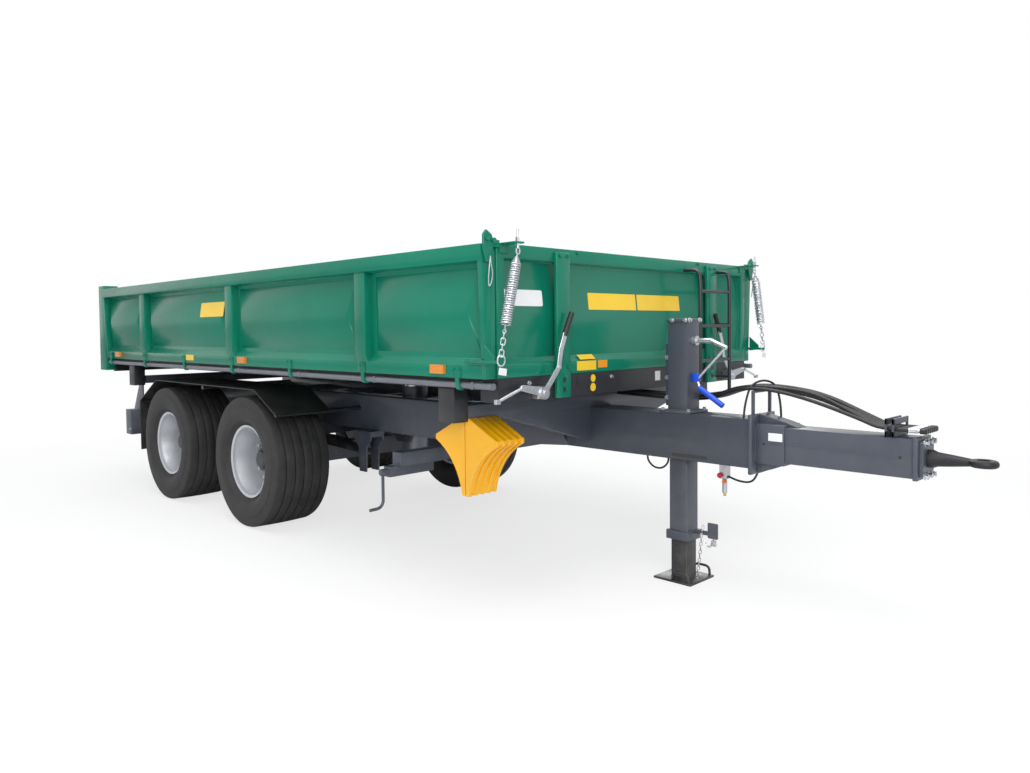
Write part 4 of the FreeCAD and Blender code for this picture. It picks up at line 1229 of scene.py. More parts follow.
@dataclass
class SideWalls:
    """Folded side walls: recessed panels with a bulge in each bay, posts, sill and top rail."""

    post_width: float = 100
    margin: float = 35
    end_plate: float = 28

    def build(self) -> None:
        """Stand in for both CAD walls."""
        for hand, side, body in SIDES:
            form = handed(self.wall(), side)
            form.soften(3.5)
            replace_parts(form.piece("folded_wall_" + hand, Finish.GREEN, body), "side_wall_" + hand)

    def wall(self) -> Draft:
        """The right wall."""
        p = PLAN
        inner = p.side_inner
        low, top = inner + 28, inner + 34
        base = [(-inner, p.side_low), (-p.rail_out, p.side_low), (-p.rail_out, p.sill_top), (-low, p.ledge),
                (-top, p.rail_low - 8), (-p.top_out, p.rail_low), (-p.top_out, p.side_top),
                (-inner, p.side_top)]
        form = Draft().pad("X", base, p.bed_rear, p.bed_front - p.bed_rear)
        half = self.post_width / 2
        stations = p.hooks()[1::2]
        starts = [p.bed_rear + self.end_plate] + [x + half for x in stations]
        stops = [x - half for x in stations] + [p.bed_front - self.end_plate]
        for start, stop in zip(starts, stops):
            self.bulge(form, start + self.margin, stop - self.margin, low, top)
        deep, sill, low_edge = -inner - 3, -p.rail_out - 0.5, p.side_low + 1
        post = [(deep, low_edge), (sill, low_edge), (sill, p.sill_top - 4),
                (-inner - 82, p.sill_top + 40), (-inner - 82, p.rail_low + 5), (deep, p.rail_low + 5)]
        for x in stations:
            form.pad("X", post, x - half, self.post_width)
        high_edge = p.side_top - 1
        end = [(deep, low_edge), (sill + 1, low_edge), (-p.top_out + 1, high_edge), (deep, high_edge)]
        for x in (p.bed_rear + 1, p.bed_front - self.end_plate - 1):
            form.pad("X", end, x, self.end_plate)
        return form

    def bulge(self, form: Draft, start: float, stop: float, low: float, top: float) -> None:
        """A folded bulge whose ends slope back to the panel.

        Args:
            form: the wall.
            start: where the bulge starts along the wall.
            stop: where it ends.
            low: the panel's distance from the middle at the ledge.
            top: its distance at the top rail.
        """
        p = PLAN
        rows = [(-low + 3, p.ledge + 6, 0), (-p.side_inner - 66, p.fold, 70), (-top + 3, p.rail_low - 12, 0)]
        back = [(-p.side_inner - 8, p.ledge + 6, 0), (-p.side_inner - 8, p.rail_low - 12, 0)]
        ends = []
        for x, way in ((start, 1), (stop, -1)):
            ends.append([(x + way * inset, y, z) for y, z, inset in rows + back[::-1]])
        form.skin(ends, True)


@dataclass
class SideGear:
    """Hooks round the locking shafts, their sill plates and bolts, and the springs' bars."""

    finger: float = 26
    plate: float = 52
    grip: float = 16.3
    thick: float = 9.5

    def build(self) -> None:
        """Stand in for the CAD hooks."""
        for hand, side, body in SIDES:
            form = handed(self.hooks(), side)
            form.soften(1.2, 1)
            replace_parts(form.piece("finger_hooks_" + hand, Finish.GREEN, body), "side_hooks_" + hand)
            bar = Draft().rod((PLAN.bed_front - 130, side * PLAN.spring_bar, PLAN.bar_z),
                              (PLAN.bed_front + 106, side * PLAN.spring_bar, PLAN.bar_z), 8)
            bar.piece("spring_bar_" + hand, Finish.GREEN, body)
            heads = [(spot(x + dx, side * (PLAN.rail_out + 6.5), 1196), Vector((0, side, 0)))
                     for x in PLAN.hooks() for dx in (-18, 18)]
            Bolts(0.011, 0.006).build("hook_bolts_" + hand, heads, body, Finish.GREEN)

    def hooks(self) -> Draft:
        """The right side's hooks."""
        p = PLAN
        out = self.grip + self.thick
        y, z = -p.shaft_y, p.shaft_z
        face = -p.rail_out - p.seat
        top = p.sill_top - 6
        finger = [(y - out, top), (y - out, z), (y + out, z, y, z - out), (y + self.grip, z),
                  (y - self.grip, z, y, z - self.grip), (y - self.grip, p.side_low - 7), (face, p.side_low),
                  (face, top)]
        plate = [(face, p.side_low + 2), (face, top), (face - 6, top), (face - 6, p.side_low + 2)]
        form = Draft()
        for x in p.hooks():
            form.pad("X", finger, x - self.finger / 2, self.finger)
            form.pad("X", plate, x - self.plate / 2, self.plate)
        start, end = p.bed_front + p.seat, p.bed_front + 66
        gusset = [(start, p.bar_z - 14), (end, p.bar_z - 5), (end, p.bar_z + 24), (start, p.bar_z + 81)]
        form.pad("Y", gusset, -p.spring_bar - 3, 6)
        return form


@dataclass
class Springs:
    """Counter springs: bent brackets with eyebolts, coils, chains and rings."""

    turns: int = 30
    wire: float = 0.004
    wide: float = 0.0235
    eye_x: float = 3335.0
    eye_y: float = 1130.0
    eye_z: float = 1751.0

    def build(self) -> None:
        """Stand in for the CAD springs and their brackets."""
        arms, bolts = Draft(), Draft()
        for hand, side, body in SIDES:
            self.bracket(arms, bolts, side)
            self.spring(hand, side, body)
        arms.soften(1.5, 1)
        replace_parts(arms.piece("bent_brackets", Finish.GREEN, Body.BED), "spring_brackets")
        bolts.piece("eyebolts", Finish.ZINC, Body.BED)

    def bracket(self, arms: Draft, bolts: Draft, side: int) -> None:
        """One bracket and its eyebolt with three nuts.

        Args:
            arms: the brackets' form.
            bolts: the eyebolts' form.
            side: -1 right, 1 left.
        """
        x, y, high = PLAN.wall_front + PLAN.seat, side * self.eye_y, PLAN.wall_top
        bent = [(x, high - 47), (x + 8, high - 47), (x + 8, high - 8), (x + 110, high - 8), (x + 110, high),
                (x, high)]
        arms.pad("Y", bent, y - 30, 60)
        bolts.rod((self.eye_x, y, self.eye_z + 8), (self.eye_x, y, high + 58), 6)
        nut = [(0, 0), (11, 0), (11, 10), (0, 10)]
        for z in (high + 0.2, high + 11, high - 19):
            bolts.lathe(nut, Vector((self.eye_x, y, z)), UP, 6)

    def spring(self, hand: str, side: int, body: Body) -> None:
        """A coil on the bed, and a chain that ends at the side wall's bar.

        Args:
            hand: right or left.
            side: -1 right, 1 left.
            body: the side wall's body.
        """
        eye = spot(self.eye_x, side * self.eye_y, self.eye_z)
        top, foot = spot(self.eye_x, side * 1138.6, 1716.4), spot(self.eye_x, side * 1216, 1405)
        ring = spot(self.eye_x, side * (PLAN.spring_bar - 10), 1243)
        down = (foot - top).normalized()
        aside = Vector((0.010, 0, 0))
        hook = [foot, foot + down * 0.014, foot + down * 0.03 + aside, foot + down * 0.044,
                foot + down * 0.03 - aside, foot + down * 0.018]
        loop = oval(eye - Vector((0, 0, 0.004)), UP, LEFT, 0.03, 0.022)
        routes = [coil(top, foot, self.turns, self.wide), hook, loop, [top - down * 0.018, top]]
        Wires(self.wire, 8).build("spring_coil_" + hand, routes, Finish.ZINC, Body.BED)
        first = foot + down * 0.038
        crossing = Stretch("bed", body.value, first, ring + Vector((0, 0, 0.03)))
        links = chain([first, ring + Vector((0, 0, 0.02))], 0.034, 0.021, 0.003)
        Wires(0.003, 8).build("spring_chain_" + hand, links, Finish.ZINC, crossing)
        eyelet = oval(ring, UP, LEFT, 0.05, 0.046, 28)
        made = Wires(self.wire, 8).build("spring_ring_" + hand, [eyelet], Finish.ZINC, body)
        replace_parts(made, "counter_spring_" + hand)
        middle, leaning = spot(self.eye_x + 8, side * 1245, 1192), Vector((0, 0.15, 1))
        tag = Form().slab(middle, AHEAD, leaning, (0.05, 0.033), 0.004)
        tag.piece("ring_tag_" + hand, Finish.WHITE, body)


@dataclass
class FrontGear:
    """Corner latches with their wire handles, toggle levers with cams and rods, and the ladder."""

    lever_x: float = 3285.0

    def build(self) -> None:
        """Stand in for the CAD pieces on the front wall."""
        latches, straps, levers, grips, hubs = Draft(), Draft(), Draft(), Draft(), Draft()
        for hand, side, _ in SIDES:
            self.latch(latches, straps, side, hand)
            self.lever(levers, grips, hubs, side)
        latches.soften(1.5, 1)
        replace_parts(latches.piece("lobed_latches", Finish.GREEN, Body.BED), "corner_latches")
        straps.piece("latch_bosses", Finish.GREEN, Body.BED)
        levers.soften(1, 1)
        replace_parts(levers.piece("flat_levers", Finish.ZINC, Body.BED), "toggle_levers")
        grips.piece("lever_grips", Finish.GRIP, Body.BED)
        hubs.piece("lever_hubs", Finish.ZINC, Body.BED)
        self.ladder()
        self.posts()

    def latch(self, latches: Draft, straps: Draft, side: int, hand: str) -> None:
        """A lobed plate, its strap, two bosses and the wire handle under it.

        Args:
            latches: the plates' form.
            straps: the bosses' form.
            side: -1 right, 1 left.
            hand: right or left.
        """
        x, y, z = PLAN.wall_front + PLAN.seat, PLAN.rail_out, PLAN.side_top
        lobe = [(y + 8, z + 64), (y + 27, z + 40), (y + 27, z - 22), (y + 8, z - 86), (y - 16, z - 82),
                (y - 43, z + 3), (y - 28, z + 43)]
        points = [(side * a, b) for a, b in lobe]
        latches.pad("X", points if side > 0 else points[::-1], x, 12)
        latches.box((x, min(side * (y - 20), side * (y - 82)), z - 14), (8, 62, 34))
        for k, boss_y in enumerate((y + 8, y - 33)):
            straps.rod((x + 10, side * boss_y, z + 22 - k * 6), (x + 26, side * boss_y, z + 22 - k * 6), 11)
        wire = [(3262, y - 8, 1723), (3270, y - 2, 1690), (3268, y - 16, 1640), (3262, y - 12, 1600),
                (3256, y - 4, 1581), (3256, y + 2, 1600), (3262, y + 4, 1650), (3264, y - 2, 1700),
                (3260, y - 8, 1723)]
        route = soft_path([spot(a, side * b, c) for a, b, c in wire], 0.03)
        Wires(0.0025, 8).build("latch_wire_" + hand, [route], Finish.ZINC, Body.BED)

    def lever(self, levers: Draft, grips: Draft, hubs: Draft, side: int) -> None:
        """A cranked lever, its cam, hub and rod to the locking shaft's arm.

        Args:
            levers: the levers' form.
            grips: the grips' form.
            hubs: the hubs' form.
            side: -1 right, 1 left.
        """
        x, face = self.lever_x, PLAN.wall_front
        hub = (910.0, PLAN.sill_low + 37)
        knee = (hub[0] + 153, hub[1] + 33)
        arm = (PLAN.shaft_y + 7, PLAN.shaft_z - 68)
        bent = [hub, (hub[0] - 56, hub[1] + 60), (hub[0] - 109, hub[1] + 122), (hub[0] - 125, hub[1] + 207),
                (hub[0] - 160, hub[1] + 290)]
        cam = [(hub[0] - 22, hub[1] - 24), (hub[0] - 22, hub[1] + 26), (knee[0] - 6, knee[1] + 14),
               (knee[0] + 14, knee[1] + 8), (knee[0] + 14, knee[1] - 12)]
        levers.pad("X", [(side * a, b) for a, b in band(bent, 30)], x + 6, 8)
        levers.pad("X", [(side * a, b) for a, b in cam], x + 2, 8)
        levers.rod((x + 9, side * knee[0], knee[1]), (x + 9, side * arm[0], arm[1]), 8, 14)
        levers.box((x, side * arm[0] - 14, arm[1] - 11), (18, 28, 22))
        levers.box((face + PLAN.seat, side * hub[0] - 30, hub[1] - 30), (x - 6 - face, 60, 60))
        hubs.rod((x - 8, side * hub[0], hub[1]), (x + 18, side * hub[0], hub[1]), 32, 28)
        hubs.rod((x + 16, side * hub[0], hub[1]), (x + 26, side * hub[0], hub[1]), 14, 6)
        for y, z in (knee, (hub[0] - 109, hub[1] + 122)):
            hubs.rod((x, side * y, z), (x + 22, side * y, z), 9, 6)
        tip = (x + 10, side * (hub[0] - 212), hub[1] + 392)
        grips.rod((x + 10, side * (hub[0] - 155), hub[1] + 280), tip, 14)

    def ladder(self) -> None:
        """Two stiles with hooked tops, four rungs and their stays."""
        form, tops = Draft(), Draft()
        x = PLAN.wall_front + 110
        for y, face in ((430.0, PLAN.wall_front), (775.0, PLAN.wall_front + 22.3)):
            tops.swept([(face + 1, y, 1730), (x - 10, y, 1730), (x, y, 1650), (x, y, 1560)], 11, 60)
            form.swept([(x, y, 1565), (x, y, 1300), (x, y, 960)], 11)
            for z in (1070.0, 1400.0):
                start = face if z < PLAN.side_low or y > 500 else face - 21
                form.rod((start, y, z), (x, y, z), 8, 14)
        for k in range(4):
            form.rod((x, 430, 975 + 208.5 * k), (x, 775, 975 + 208.5 * k), 10, 16)
        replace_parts(form.piece("ladder_frame", Finish.DARK, Body.BED), "access_ladder")
        tops.piece("ladder_hooks", Finish.DARK, Body.BED)

    def posts(self) -> None:
        """Bolts of the two flat posts, black slabs of painted shade for their square holes, and bolts along the
        front sill.
        """
        # black slabs stand for the square holes: painted shade of their hollows
        holes = Form()
        for side in (-1, 1):
            for z in (1077, 1125):
                holes.slab(spot(3262.2, side * 720, z), AHEAD, UP, (0.024, 0.024), 0.004, 0.0008)
        holes.piece("post_holes", Finish.BLACK_PLATE_AND_HOLE_SHADE, Body.BED)
        post = [(y, z) for z in (1752, 1190) for y in (690, 750)]
        rows = (("post_bolts", PLAN.wall_front + 22.5, post, Finish.GREEN),
                ("sill_bolts", PLAN.wall_front + 0.5, [(960, 1121), (300, 1121)], Finish.ZINC),
                ("rail_bolts", PLAN.wall_front + 0.5, [(587, 1776)], Finish.GREEN))
        for name, x, places, finish in rows:
            heads = [(spot(x, side * y, z), AHEAD) for side in (-1, 1) for y, z in places]
            Bolts(0.017, 0.009).build(name, heads, Body.BED, finish)


@dataclass
class Signs:
    """Blank plates on the right side wall, the front wall and the tongue."""

    def build(self) -> None:
        """Make the plates: name, finish, body, middle, way it faces, width, height and corner in a row."""
        slope, out = Vector((0.994, 0, 0.108)), Vector((0, -0.9887, 0.15))
        bed, wall = Body.BED, Body.SIDE_RIGHT
        rows = (
            ("side_plate", Finish.SIGN, wall, (381, -1235.6, 1545.5), out, 376, 105, 12),
            ("sill_plate", Finish.SIGN, wall, (-2.5, -1243.7, 1192.5), RIGHT, 135, 41, 3),
            ("warning_plate_right", Finish.SIGN, bed, (3218.6, -259, 1529), slope, 428, 90, 6),
            ("warning_plate_left", Finish.SIGN, bed, (3218.6, 187.5, 1529), slope, 435, 90, 6),
            ("pale_plate", Finish.WHITE, bed, (3217.6, -972.5, 1537), slope, 275, 80, 10),
            ("cut_plate", Finish.SIGN, bed, (3240.3, -513.5, 1189.7), AHEAD, 159, 49.5, 2),
            ("orange_plate", Finish.ORANGE_SIGN, bed, (3240.3, -377.5, 1194), AHEAD, 79, 40.5, 2),
            ("black_plate", Finish.BLACK_PLATE_AND_HOLE_SHADE, bed, (3240.3, -539.5, 1108), AHEAD, 107, 58, 2),
            ("white_plate", Finish.WHITE, bed, (3240.3, 143, 1104), AHEAD, 51, 55, 2),
            ("tongue_plate", Finish.WHITE, Body.CHASSIS, (4076, -88.2, 840.5), RIGHT, 72, 39.5, 2),
        )
        for name, finish, body, middle, way, width, height, corner in rows:
            form = Form().slab(spot(*middle), way, UP, (width * MM, height * MM), corner * MM)
            form.piece(name, finish, body)
        tilted, climb = Vector((0.67, 0, 0.74)), Vector((-0.74, 0, 0.67))
        fold = Form().slab(spot(3229, -505, 1234), tilted, climb, (0.126, 0.036), 0.002)
        fold.piece("folded_plate", Finish.SIGN, bed)
        discs = Form()
        for y, z, r in ((-460, 1120, 20), (-460.6, 1072, 22)):
            discs.lathe([(0, 0), (r * MM, 0), (r * MM, 0.0012), (0, 0.0012)], spot(3240.3, y, z), AHEAD, 28)
        discs.piece("round_plates", Finish.SIGN, bed)


@dataclass
class Leg:
    """Support leg: bolts, foot pin with its handle, ring and chains, lock, foot loops and hand crank."""

    pin_z: float = 272.0

    def build(self) -> None:
        """Make the small parts of the leg."""
        x = PLAN.leg
        pin = Draft().rod((x + 69.3, 0, self.pin_z), (x + 170, 0, self.pin_z), 12)
        pin.pad("Y", rounded(x + 155, 250, x + 215, 335, 8), -14, 8)
        pin.soften(1, 1)
        pin.piece("foot_pin", Finish.SLATE, Body.SLEEVE)
        sleeve_ring = oval(spot(x + 125, -10, 300), UP, LEFT, 0.03, 0.024)
        loops = Draft()
        for y in (-109.0, 109.0):
            loops.swept([(x - 3, y, 9), (x + 1, y, 59), (x + 93, y, 59), (x + 97, y, 9)], 7, 30)
        loops.piece("foot_loops", Finish.DARK, Body.FOOT)
        route = [spot(x + out, y, z) for out, y, z in (
            (120, -11, 290), (116, -16, 200), (105, -20, 90), (95, -20, 22))]
        links = chain(route, 0.0255, 0.0135, 0.00225)
        crossing = Stretch("leg_slide_body", "foot", route[0], route[-1])
        Wires(0.00225, 8).build("foot_chain", links, Finish.STEEL, crossing)
        fine = soft_path([spot(x + 195, -15, 255), spot(x + 170, -18, 190), spot(x + 135, -14, 235)], 0.05)
        links = chain(fine[::3] + [fine[-1]], 0.012, 0.0075, 0.0012)
        Wires(0.0012, 6).build("pin_chain", links + [sleeve_ring], Finish.STEEL, Body.SLEEVE)
        lock = Draft().box((x + 183, -26, 214), (27, 12, 32))
        lock.soften(3)
        lock.piece("pin_lock", Finish.STEEL, Body.SLEEVE)
        self.bolts(x)
        self.crank(x + 61.3)

    def bolts(self, x: float) -> None:
        """Bolts of the cap, base flange and fin.

        Args:
            x: the leg's place.
        """
        heads = [(spot(x + dx, -67.3, 1424), RIGHT) for dx in (-30, 51)]
        heads += [(spot(x + 67.3, y, 1424), AHEAD) for y in (-50, 50)]
        heads += [(spot(x + dx, dy, 935), UP) for dx in (-80, 80) for dy in (-80, 80)]
        heads += [(spot(x - 78, -40.3, z), RIGHT) for z in (1000, 1110, 1220)]
        Bolts(0.019, 0.011).build("housing_bolts", heads, Body.CHASSIS)

    def crank(self, root: float) -> None:
        """Folding crank: shaft, fork, rod, blue block and blue grip.

        Args:
            root: where its shaft leaves the housing.
        """
        z, metal = 1313.0, Draft()
        for run, fall, end_run, end_fall, radius, facets in (
                (0, 0, 112, 0, 14, 20), (106, 0, 196, 38, 12, 20), (190, 36, 28, 205, 8, 20),
                (0, 0, 24, 0, 26, 24), (22, 212, 40, 262, 8, 20)):
            metal.rod((root + run, 0, z - fall), (root + end_run, 0, z - end_fall), radius, facets)
        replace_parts(metal.piece("crank_metal", Finish.ZINC, Body.CHASSIS), "leg_crank")
        blue = Draft().box((root, -18, z - 222), (36, 36, 44))
        blue.soften(3)
        grip = [Vector((root + run, 0, z - fall)) for run, fall in ((34, 255), (105, 300), (176, 345))]
        blue.tube(grip, 15, 20)
        blue.piece("crank_grip", Finish.BLUE, Body.CHASSIS)


@dataclass
class Tongue:
    """Drawbar end: wedge stop, gussets, flange bolts, forged eye, black slabs of painted shade for a slot and
    two holes, and weld beads.
    """

    def build(self) -> None:
        """Make the pieces on the drawbar."""
        x = PLAN.collar_front
        form = Draft().pad("Y", [(x, 881), (x, 947), (x + 138, 913), (x + 200, 891), (x + 200, 884)], -45, 90)
        for y in (-62.0, 62.0):
            form.pad("Y", [(x, 650), (x + 12, 650), (x + 167, 715), (x, 715)], y - 5, 10)
        form.soften(2, 1)
        form.piece("tongue_wedge", Finish.SLATE, Body.CHASSIS)
        self.eye()
        heads = [(spot(4738.5, y, z), AHEAD) for y in (-50, 0, 50) for z in (726, 874)]
        Bolts(0.024, 0.014).build("eye_bolts", heads, Body.CHASSIS)
        # black slabs for the slot and two round holes: painted shade of their hollows
        dark = Form().slab(spot(3600, -100.2, 697), RIGHT, UP, (0.216, 0.018), 0.008, 0.0006)
        for hole_x, y in ((4016, -88.2), (4645, -76.2)):
            dark.slab(spot(hole_x, y, 802), RIGHT, UP, (0.016, 0.016), 0.0078, 0.0006)
        dark.piece("tongue_holes", Finish.BLACK_PLATE_AND_HOLE_SHADE, Body.CHASSIS)
        beads = [[spot(x0, y, z0), spot(x1, y, z1)] for x0, z0, x1, z1, y in (
            (4040, 809, 4118, 807.5, -88.2), (4123, 807.4, 4640, 796.6, -76.2),
            (3951, 690, 3951, 905, -100.5), (3971, 715, 3971, 887, -88))]
        Wires(0.0022, 8).build("weld_beads", beads, Finish.SLATE, Body.CHASSIS)

    def eye(self) -> None:
        """A forged ring on a tapered shank behind a thick plate."""
        base, z = PLAN.tongue_front + 20, 800.0
        plate = Draft().pad("X", rounded(-70, z - 80, 70, z + 80, 14), base, 18)
        plate.soften(2, 1)
        plate.piece("eye_plate", Finish.SLATE, Body.CHASSIS)
        form = Draft()
        reach = PLAN.eye - 50 - base
        shank = [(0, 0), (40, 0), (40, 22), (32, 40), (26, 95), (19, reach - 30), (15, reach), (0, reach)]
        form.lathe(shank, Vector((base + 16, 0, z)), AHEAD, 28)
        ring = [(25, -14), (27, -15), (46, -15), (53, -11), (56, -4), (56, 4), (53, 11), (46, 15), (27, 15),
                (25, 14)]
        form.lathe(ring, Vector((PLAN.eye, 0, z)), UP, 48)
        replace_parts(form.piece("forged_eye", Finish.FORGED, Body.CHASSIS), "towing_eye")


@dataclass
class Hoses:
    """Six service hoses over a clamp and through two holders, three thin cables and the drain valve."""

    radius: float = 0.009
    pitch: float = 28.0

    def build(self) -> None:
        """Stand in for the CAD hoses and their brackets."""
        routes = [self.route(k) for k in range(6)]
        made = Wires(self.radius, 14).build("hose_bundle", routes, Finish.HOSE, Body.CHASSIS)
        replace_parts(made, "service_hoses")
        loop = [(3248, 30, 671), (3248, 30, 622), (3290, 30, 585), (3346, 30, 584), (3388, 30, 622),
                (3388, 30, 671)]
        thin = [(3905, -84, 921), (3912, -80, 1000), (3930, -60, 1092), (3972, 0, 1118), (4010, 56, 1092),
                (4028, 66, 1000), (4032, 68, 902)]
        back = [(3700, 58, 671), (3705, 58, 600), (3790, 66, 566), (3869, 72, 565), (3905, 70, 620),
                (3910, 70, 671)]
        cables = [soft_path([spot(*p) for p in line], 0.08, 8) for line in (loop, thin, back)]
        Wires(0.0055, 10).build("thin_cables", cables, Finish.HOSE, Body.CHASSIS)
        self.brackets()
        self.fittings(routes)

    def route(self, k: int) -> list[Vector]:
        """One hose's line.

        Args:
            k: its number, from 0 at the right.

        Returns:
            Its places, from the chassis to the front holder.
        """
        y = (k - 2.5) * self.pitch
        aside = 105 + 19 * k
        lift = 982 + 16 * (k % 2)
        clamp_z = 1074.3 + 9 * (k % 2)
        sag = -42 + 13 * ((k * 2) % 3)
        points = [(2960, aside + 30, lift + 8), (3315, aside, lift), (3615, aside, lift + 6),
                  (3869, y, clamp_z), (4049, y, clamp_z), (4249, y + 5 * (k % 2), clamp_z + sag),
                  (4475, y, 959), (4555, y, 925.5), (4725, y, 926)]
        return soft_path([spot(*p) for p in points], 0.16, 8)

    def brackets(self) -> None:
        """The clamp on the collar, two holders on the tongue and the valve under the beam."""
        arch = [(-95, 947.3), (-95, 1065), (95, 1065), (95, 947.3), (81, 947.3), (81, 1053), (-81, 1053),
                (-81, 947.3)]
        form = Draft().pad("X", arch, 3952, 14)
        for x in (4585.0, 4615.0):
            for y0, z0, y1, z1 in ((-93, 889.3, 93, 916), (-93, 946, 93, 972), (-93, 889.3, -82, 972),
                                   (82, 889.3, 93, 972)):
                form.box((x, y0, z0), (9, y1 - y0, z1 - z0))
        form.soften(1, 1)
        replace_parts(form.piece("hose_holders", Finish.SLATE, Body.CHASSIS), "hose_brackets")
        valve = Draft().box((3700, 36, 572), (44, 44, 100)).rod((3722, 58, 494), (3722, 58, 584), 13)
        valve.box((3690, 30, 655), (64, 56, 16))
        valve.soften(2, 1)
        valve.piece("drain_valve", Finish.STEEL, Body.CHASSIS)
        caps = (("valve_red_cap", Finish.RED, (3708, 36, 591), (3708, 24, 591), 14, 20),
                ("valve_orange_cap", Finish.ORANGE, (3735, 36, 560), (3735, 22, 560), 11, 20),
                ("valve_tip", Finish.BRASS, (3722, 58, 494), (3722, 58, 478), 9, 6))
        for name, finish, start, end, radius, facets in caps:
            Draft().rod(start, end, radius, facets).piece(name, finish, Body.CHASSIS)

    def fittings(self, routes: Sequence[Sequence[Vector]]) -> None:
        """Plated ferrules and caps at the hoses' front ends.

        Args:
            routes: the hoses' lines.
        """
        ends, caps = Form(), Form()
        ferrule = [(0, -0.045), (0.0115, -0.045), (0.0115, -0.012), (0.0095, -0.01), (0.0095, 0), (0, 0)]
        cap = [(0, 0), (0.0135, 0), (0.0135, 0.024), (0.009, 0.028), (0, 0.028)]
        for route in routes:
            ends.lathe(ferrule, route[-1], AHEAD, 14)
            caps.lathe(cap, route[-1], AHEAD, 14)
        ends.piece("hose_ferrules", Finish.ZINC, Body.CHASSIS)
        caps.piece("hose_caps", Finish.GRIP, Body.CHASSIS)


@dataclass
class Rear:
    """Chocks, mudguards, the axles' brake gear, and bolts of the lamp carrier and brake tube."""

    def build(self) -> None:
        """Stand in for the CAD chocks and mudguards and add what the axles carry."""
        chocks = Draft()
        for side in (1, -1):
            self.chock(chocks, side)
        chocks.soften(1.2, 1)
        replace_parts(chocks.piece("ribbed_chocks", Finish.YELLOW, Body.CHASSIS), "wheel_chocks")
        guards, stays = Draft(), Draft()
        for side in (-1, 1):
            self.guard(guards, stays, side)
        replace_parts(guards.piece("guard_sheets", Finish.PLASTIC, Body.CHASSIS), "mudguards")
        stays.piece("guard_stays", Finish.DARK, Body.CHASSIS)
        for end, x in (("front", PLAN.half_spacing), ("rear", -PLAN.half_spacing)):
            self.brakes(end, x)
        heads = [(spot(x, -80, 672), Vector((0, 0, -1))) for x in (2160, 2220)]
        heads += [(spot(-1507, side * 1150.4, 513), Vector((0, side, 0))) for side in (-1, 1)]
        Bolts(0.017, 0.01).build("carrier_bolts", heads, Body.CHASSIS)

    def chock(self, form: Draft, side: int) -> None:
        """One wedge with five ribs on its hollow face.

        Args:
            form: the chocks' form.
            side: 1 for the one that faces forward, -1 for the other.
        """
        base = PLAN.front_pivot + 22 + side * 3
        tip, crest = 534.7, base + side * 225

        def face(groove: float, inset: float) -> list[Flat]:
            """The wedge's outline, set back from the ribs by groove and from its flat sides by inset."""
            toe, top = base + side * (22 - groove * 0.5), crest - side * groove
            back, low, high = base + side * inset, tip + inset, tip + 400 - inset
            hollow = (top, tip + 275 + groove, base + side * (92 - groove), tip + 165 + groove)
            return [(back, low), (toe, low), hollow, (top, tip + 300), (base + side * 30, high), (back, high)]

        form.pad("Y", face(7, 2), -1088, 196)
        for k in range(5):
            form.pad("Y", face(0, 0), -1090 + k * 44.5, 22)

    def guard(self, form: Draft, stays: Draft, side: int) -> None:
        """A folded sheet over two wheels, its rolled edges and the bars that carry it.

        Args:
            form: the sheets' form.
            stays: the bars' form.
            side: -1 right, 1 left.
        """
        top, reach, flat, t = 985.0, 1215.0, 850.0, 4.0
        slope = 195
        knee, nose = top - slope, reach - 65
        fall = slope / (reach - flat)
        nose_z = top - (nose - flat) * fall
        drop = t / math.cos(math.atan(fall))
        sheet = [(-reach, 361), (-reach, knee), (-flat, top), (flat, top), (nose, nose_z),
                 (nose, nose_z - drop), (flat, top - drop), (-flat, top - drop), (-reach + t, knee - t / 2),
                 (-reach + t, 361)]
        low = -1172.0 if side < 0 else 742.0
        form.pad("Y", sheet, low, 430)
        line = [(-reach + 2, knee), (-flat, top - 2), (flat, top - 2), (nose, nose_z - 2)]
        for y in (low + 4, low + 426):
            form.tube([Vector((x, y, z)) for x, z in line], 5, 8)
        start = low + 20 if side < 0 else 400.0
        stays.box((-18, start, top - t - 36), (36, 752, 36))
        stays.box((-18, -460 if side < 0 else 400, PLAN.beam_top), (36, 60, 26))
        for x, z in ((-reach + t + 14, knee - 40), (nose - 48, nose_z)):
            stays.rod((x, side * 470.3, z), (x, side * 1150, z), 16, 16)

    def brakes(self, end: str, x: float) -> None:
        """Chambers, push rods, levers, camshafts and backplates of one axle.

        Args:
            end: front or rear.
            x: the axle's place.
        """
        form, low = Draft(), PLAN.wheel_z
        chamber = [(0, -55), (46, -55), (60, -46), (63, -8), (70, -8), (70, 8), (63, 8), (60, 44), (42, 55),
                   (0, 55)]
        for side in (-1, 1):
            y, z = side * 640.0, 592.5
            form.lathe(chamber, Vector((x, y, z)), AHEAD, 28)
            form.rod((x - 112, y, z), (x - 50, y, z), 9, 12)
            form.pad("Y", band([(x - 100, z + 12), (x - 100, 447)], 30), y - 7, 14)
            form.rod((x - 100, y - side * 25, low), (x - 100, side * 708, low), 16, 16)
            form.rod((x, side * 700, low), (x, side * 710, low), 190, 36)
        form.piece("brake_gear_" + end, Finish.DARK, Body.CHASSIS)


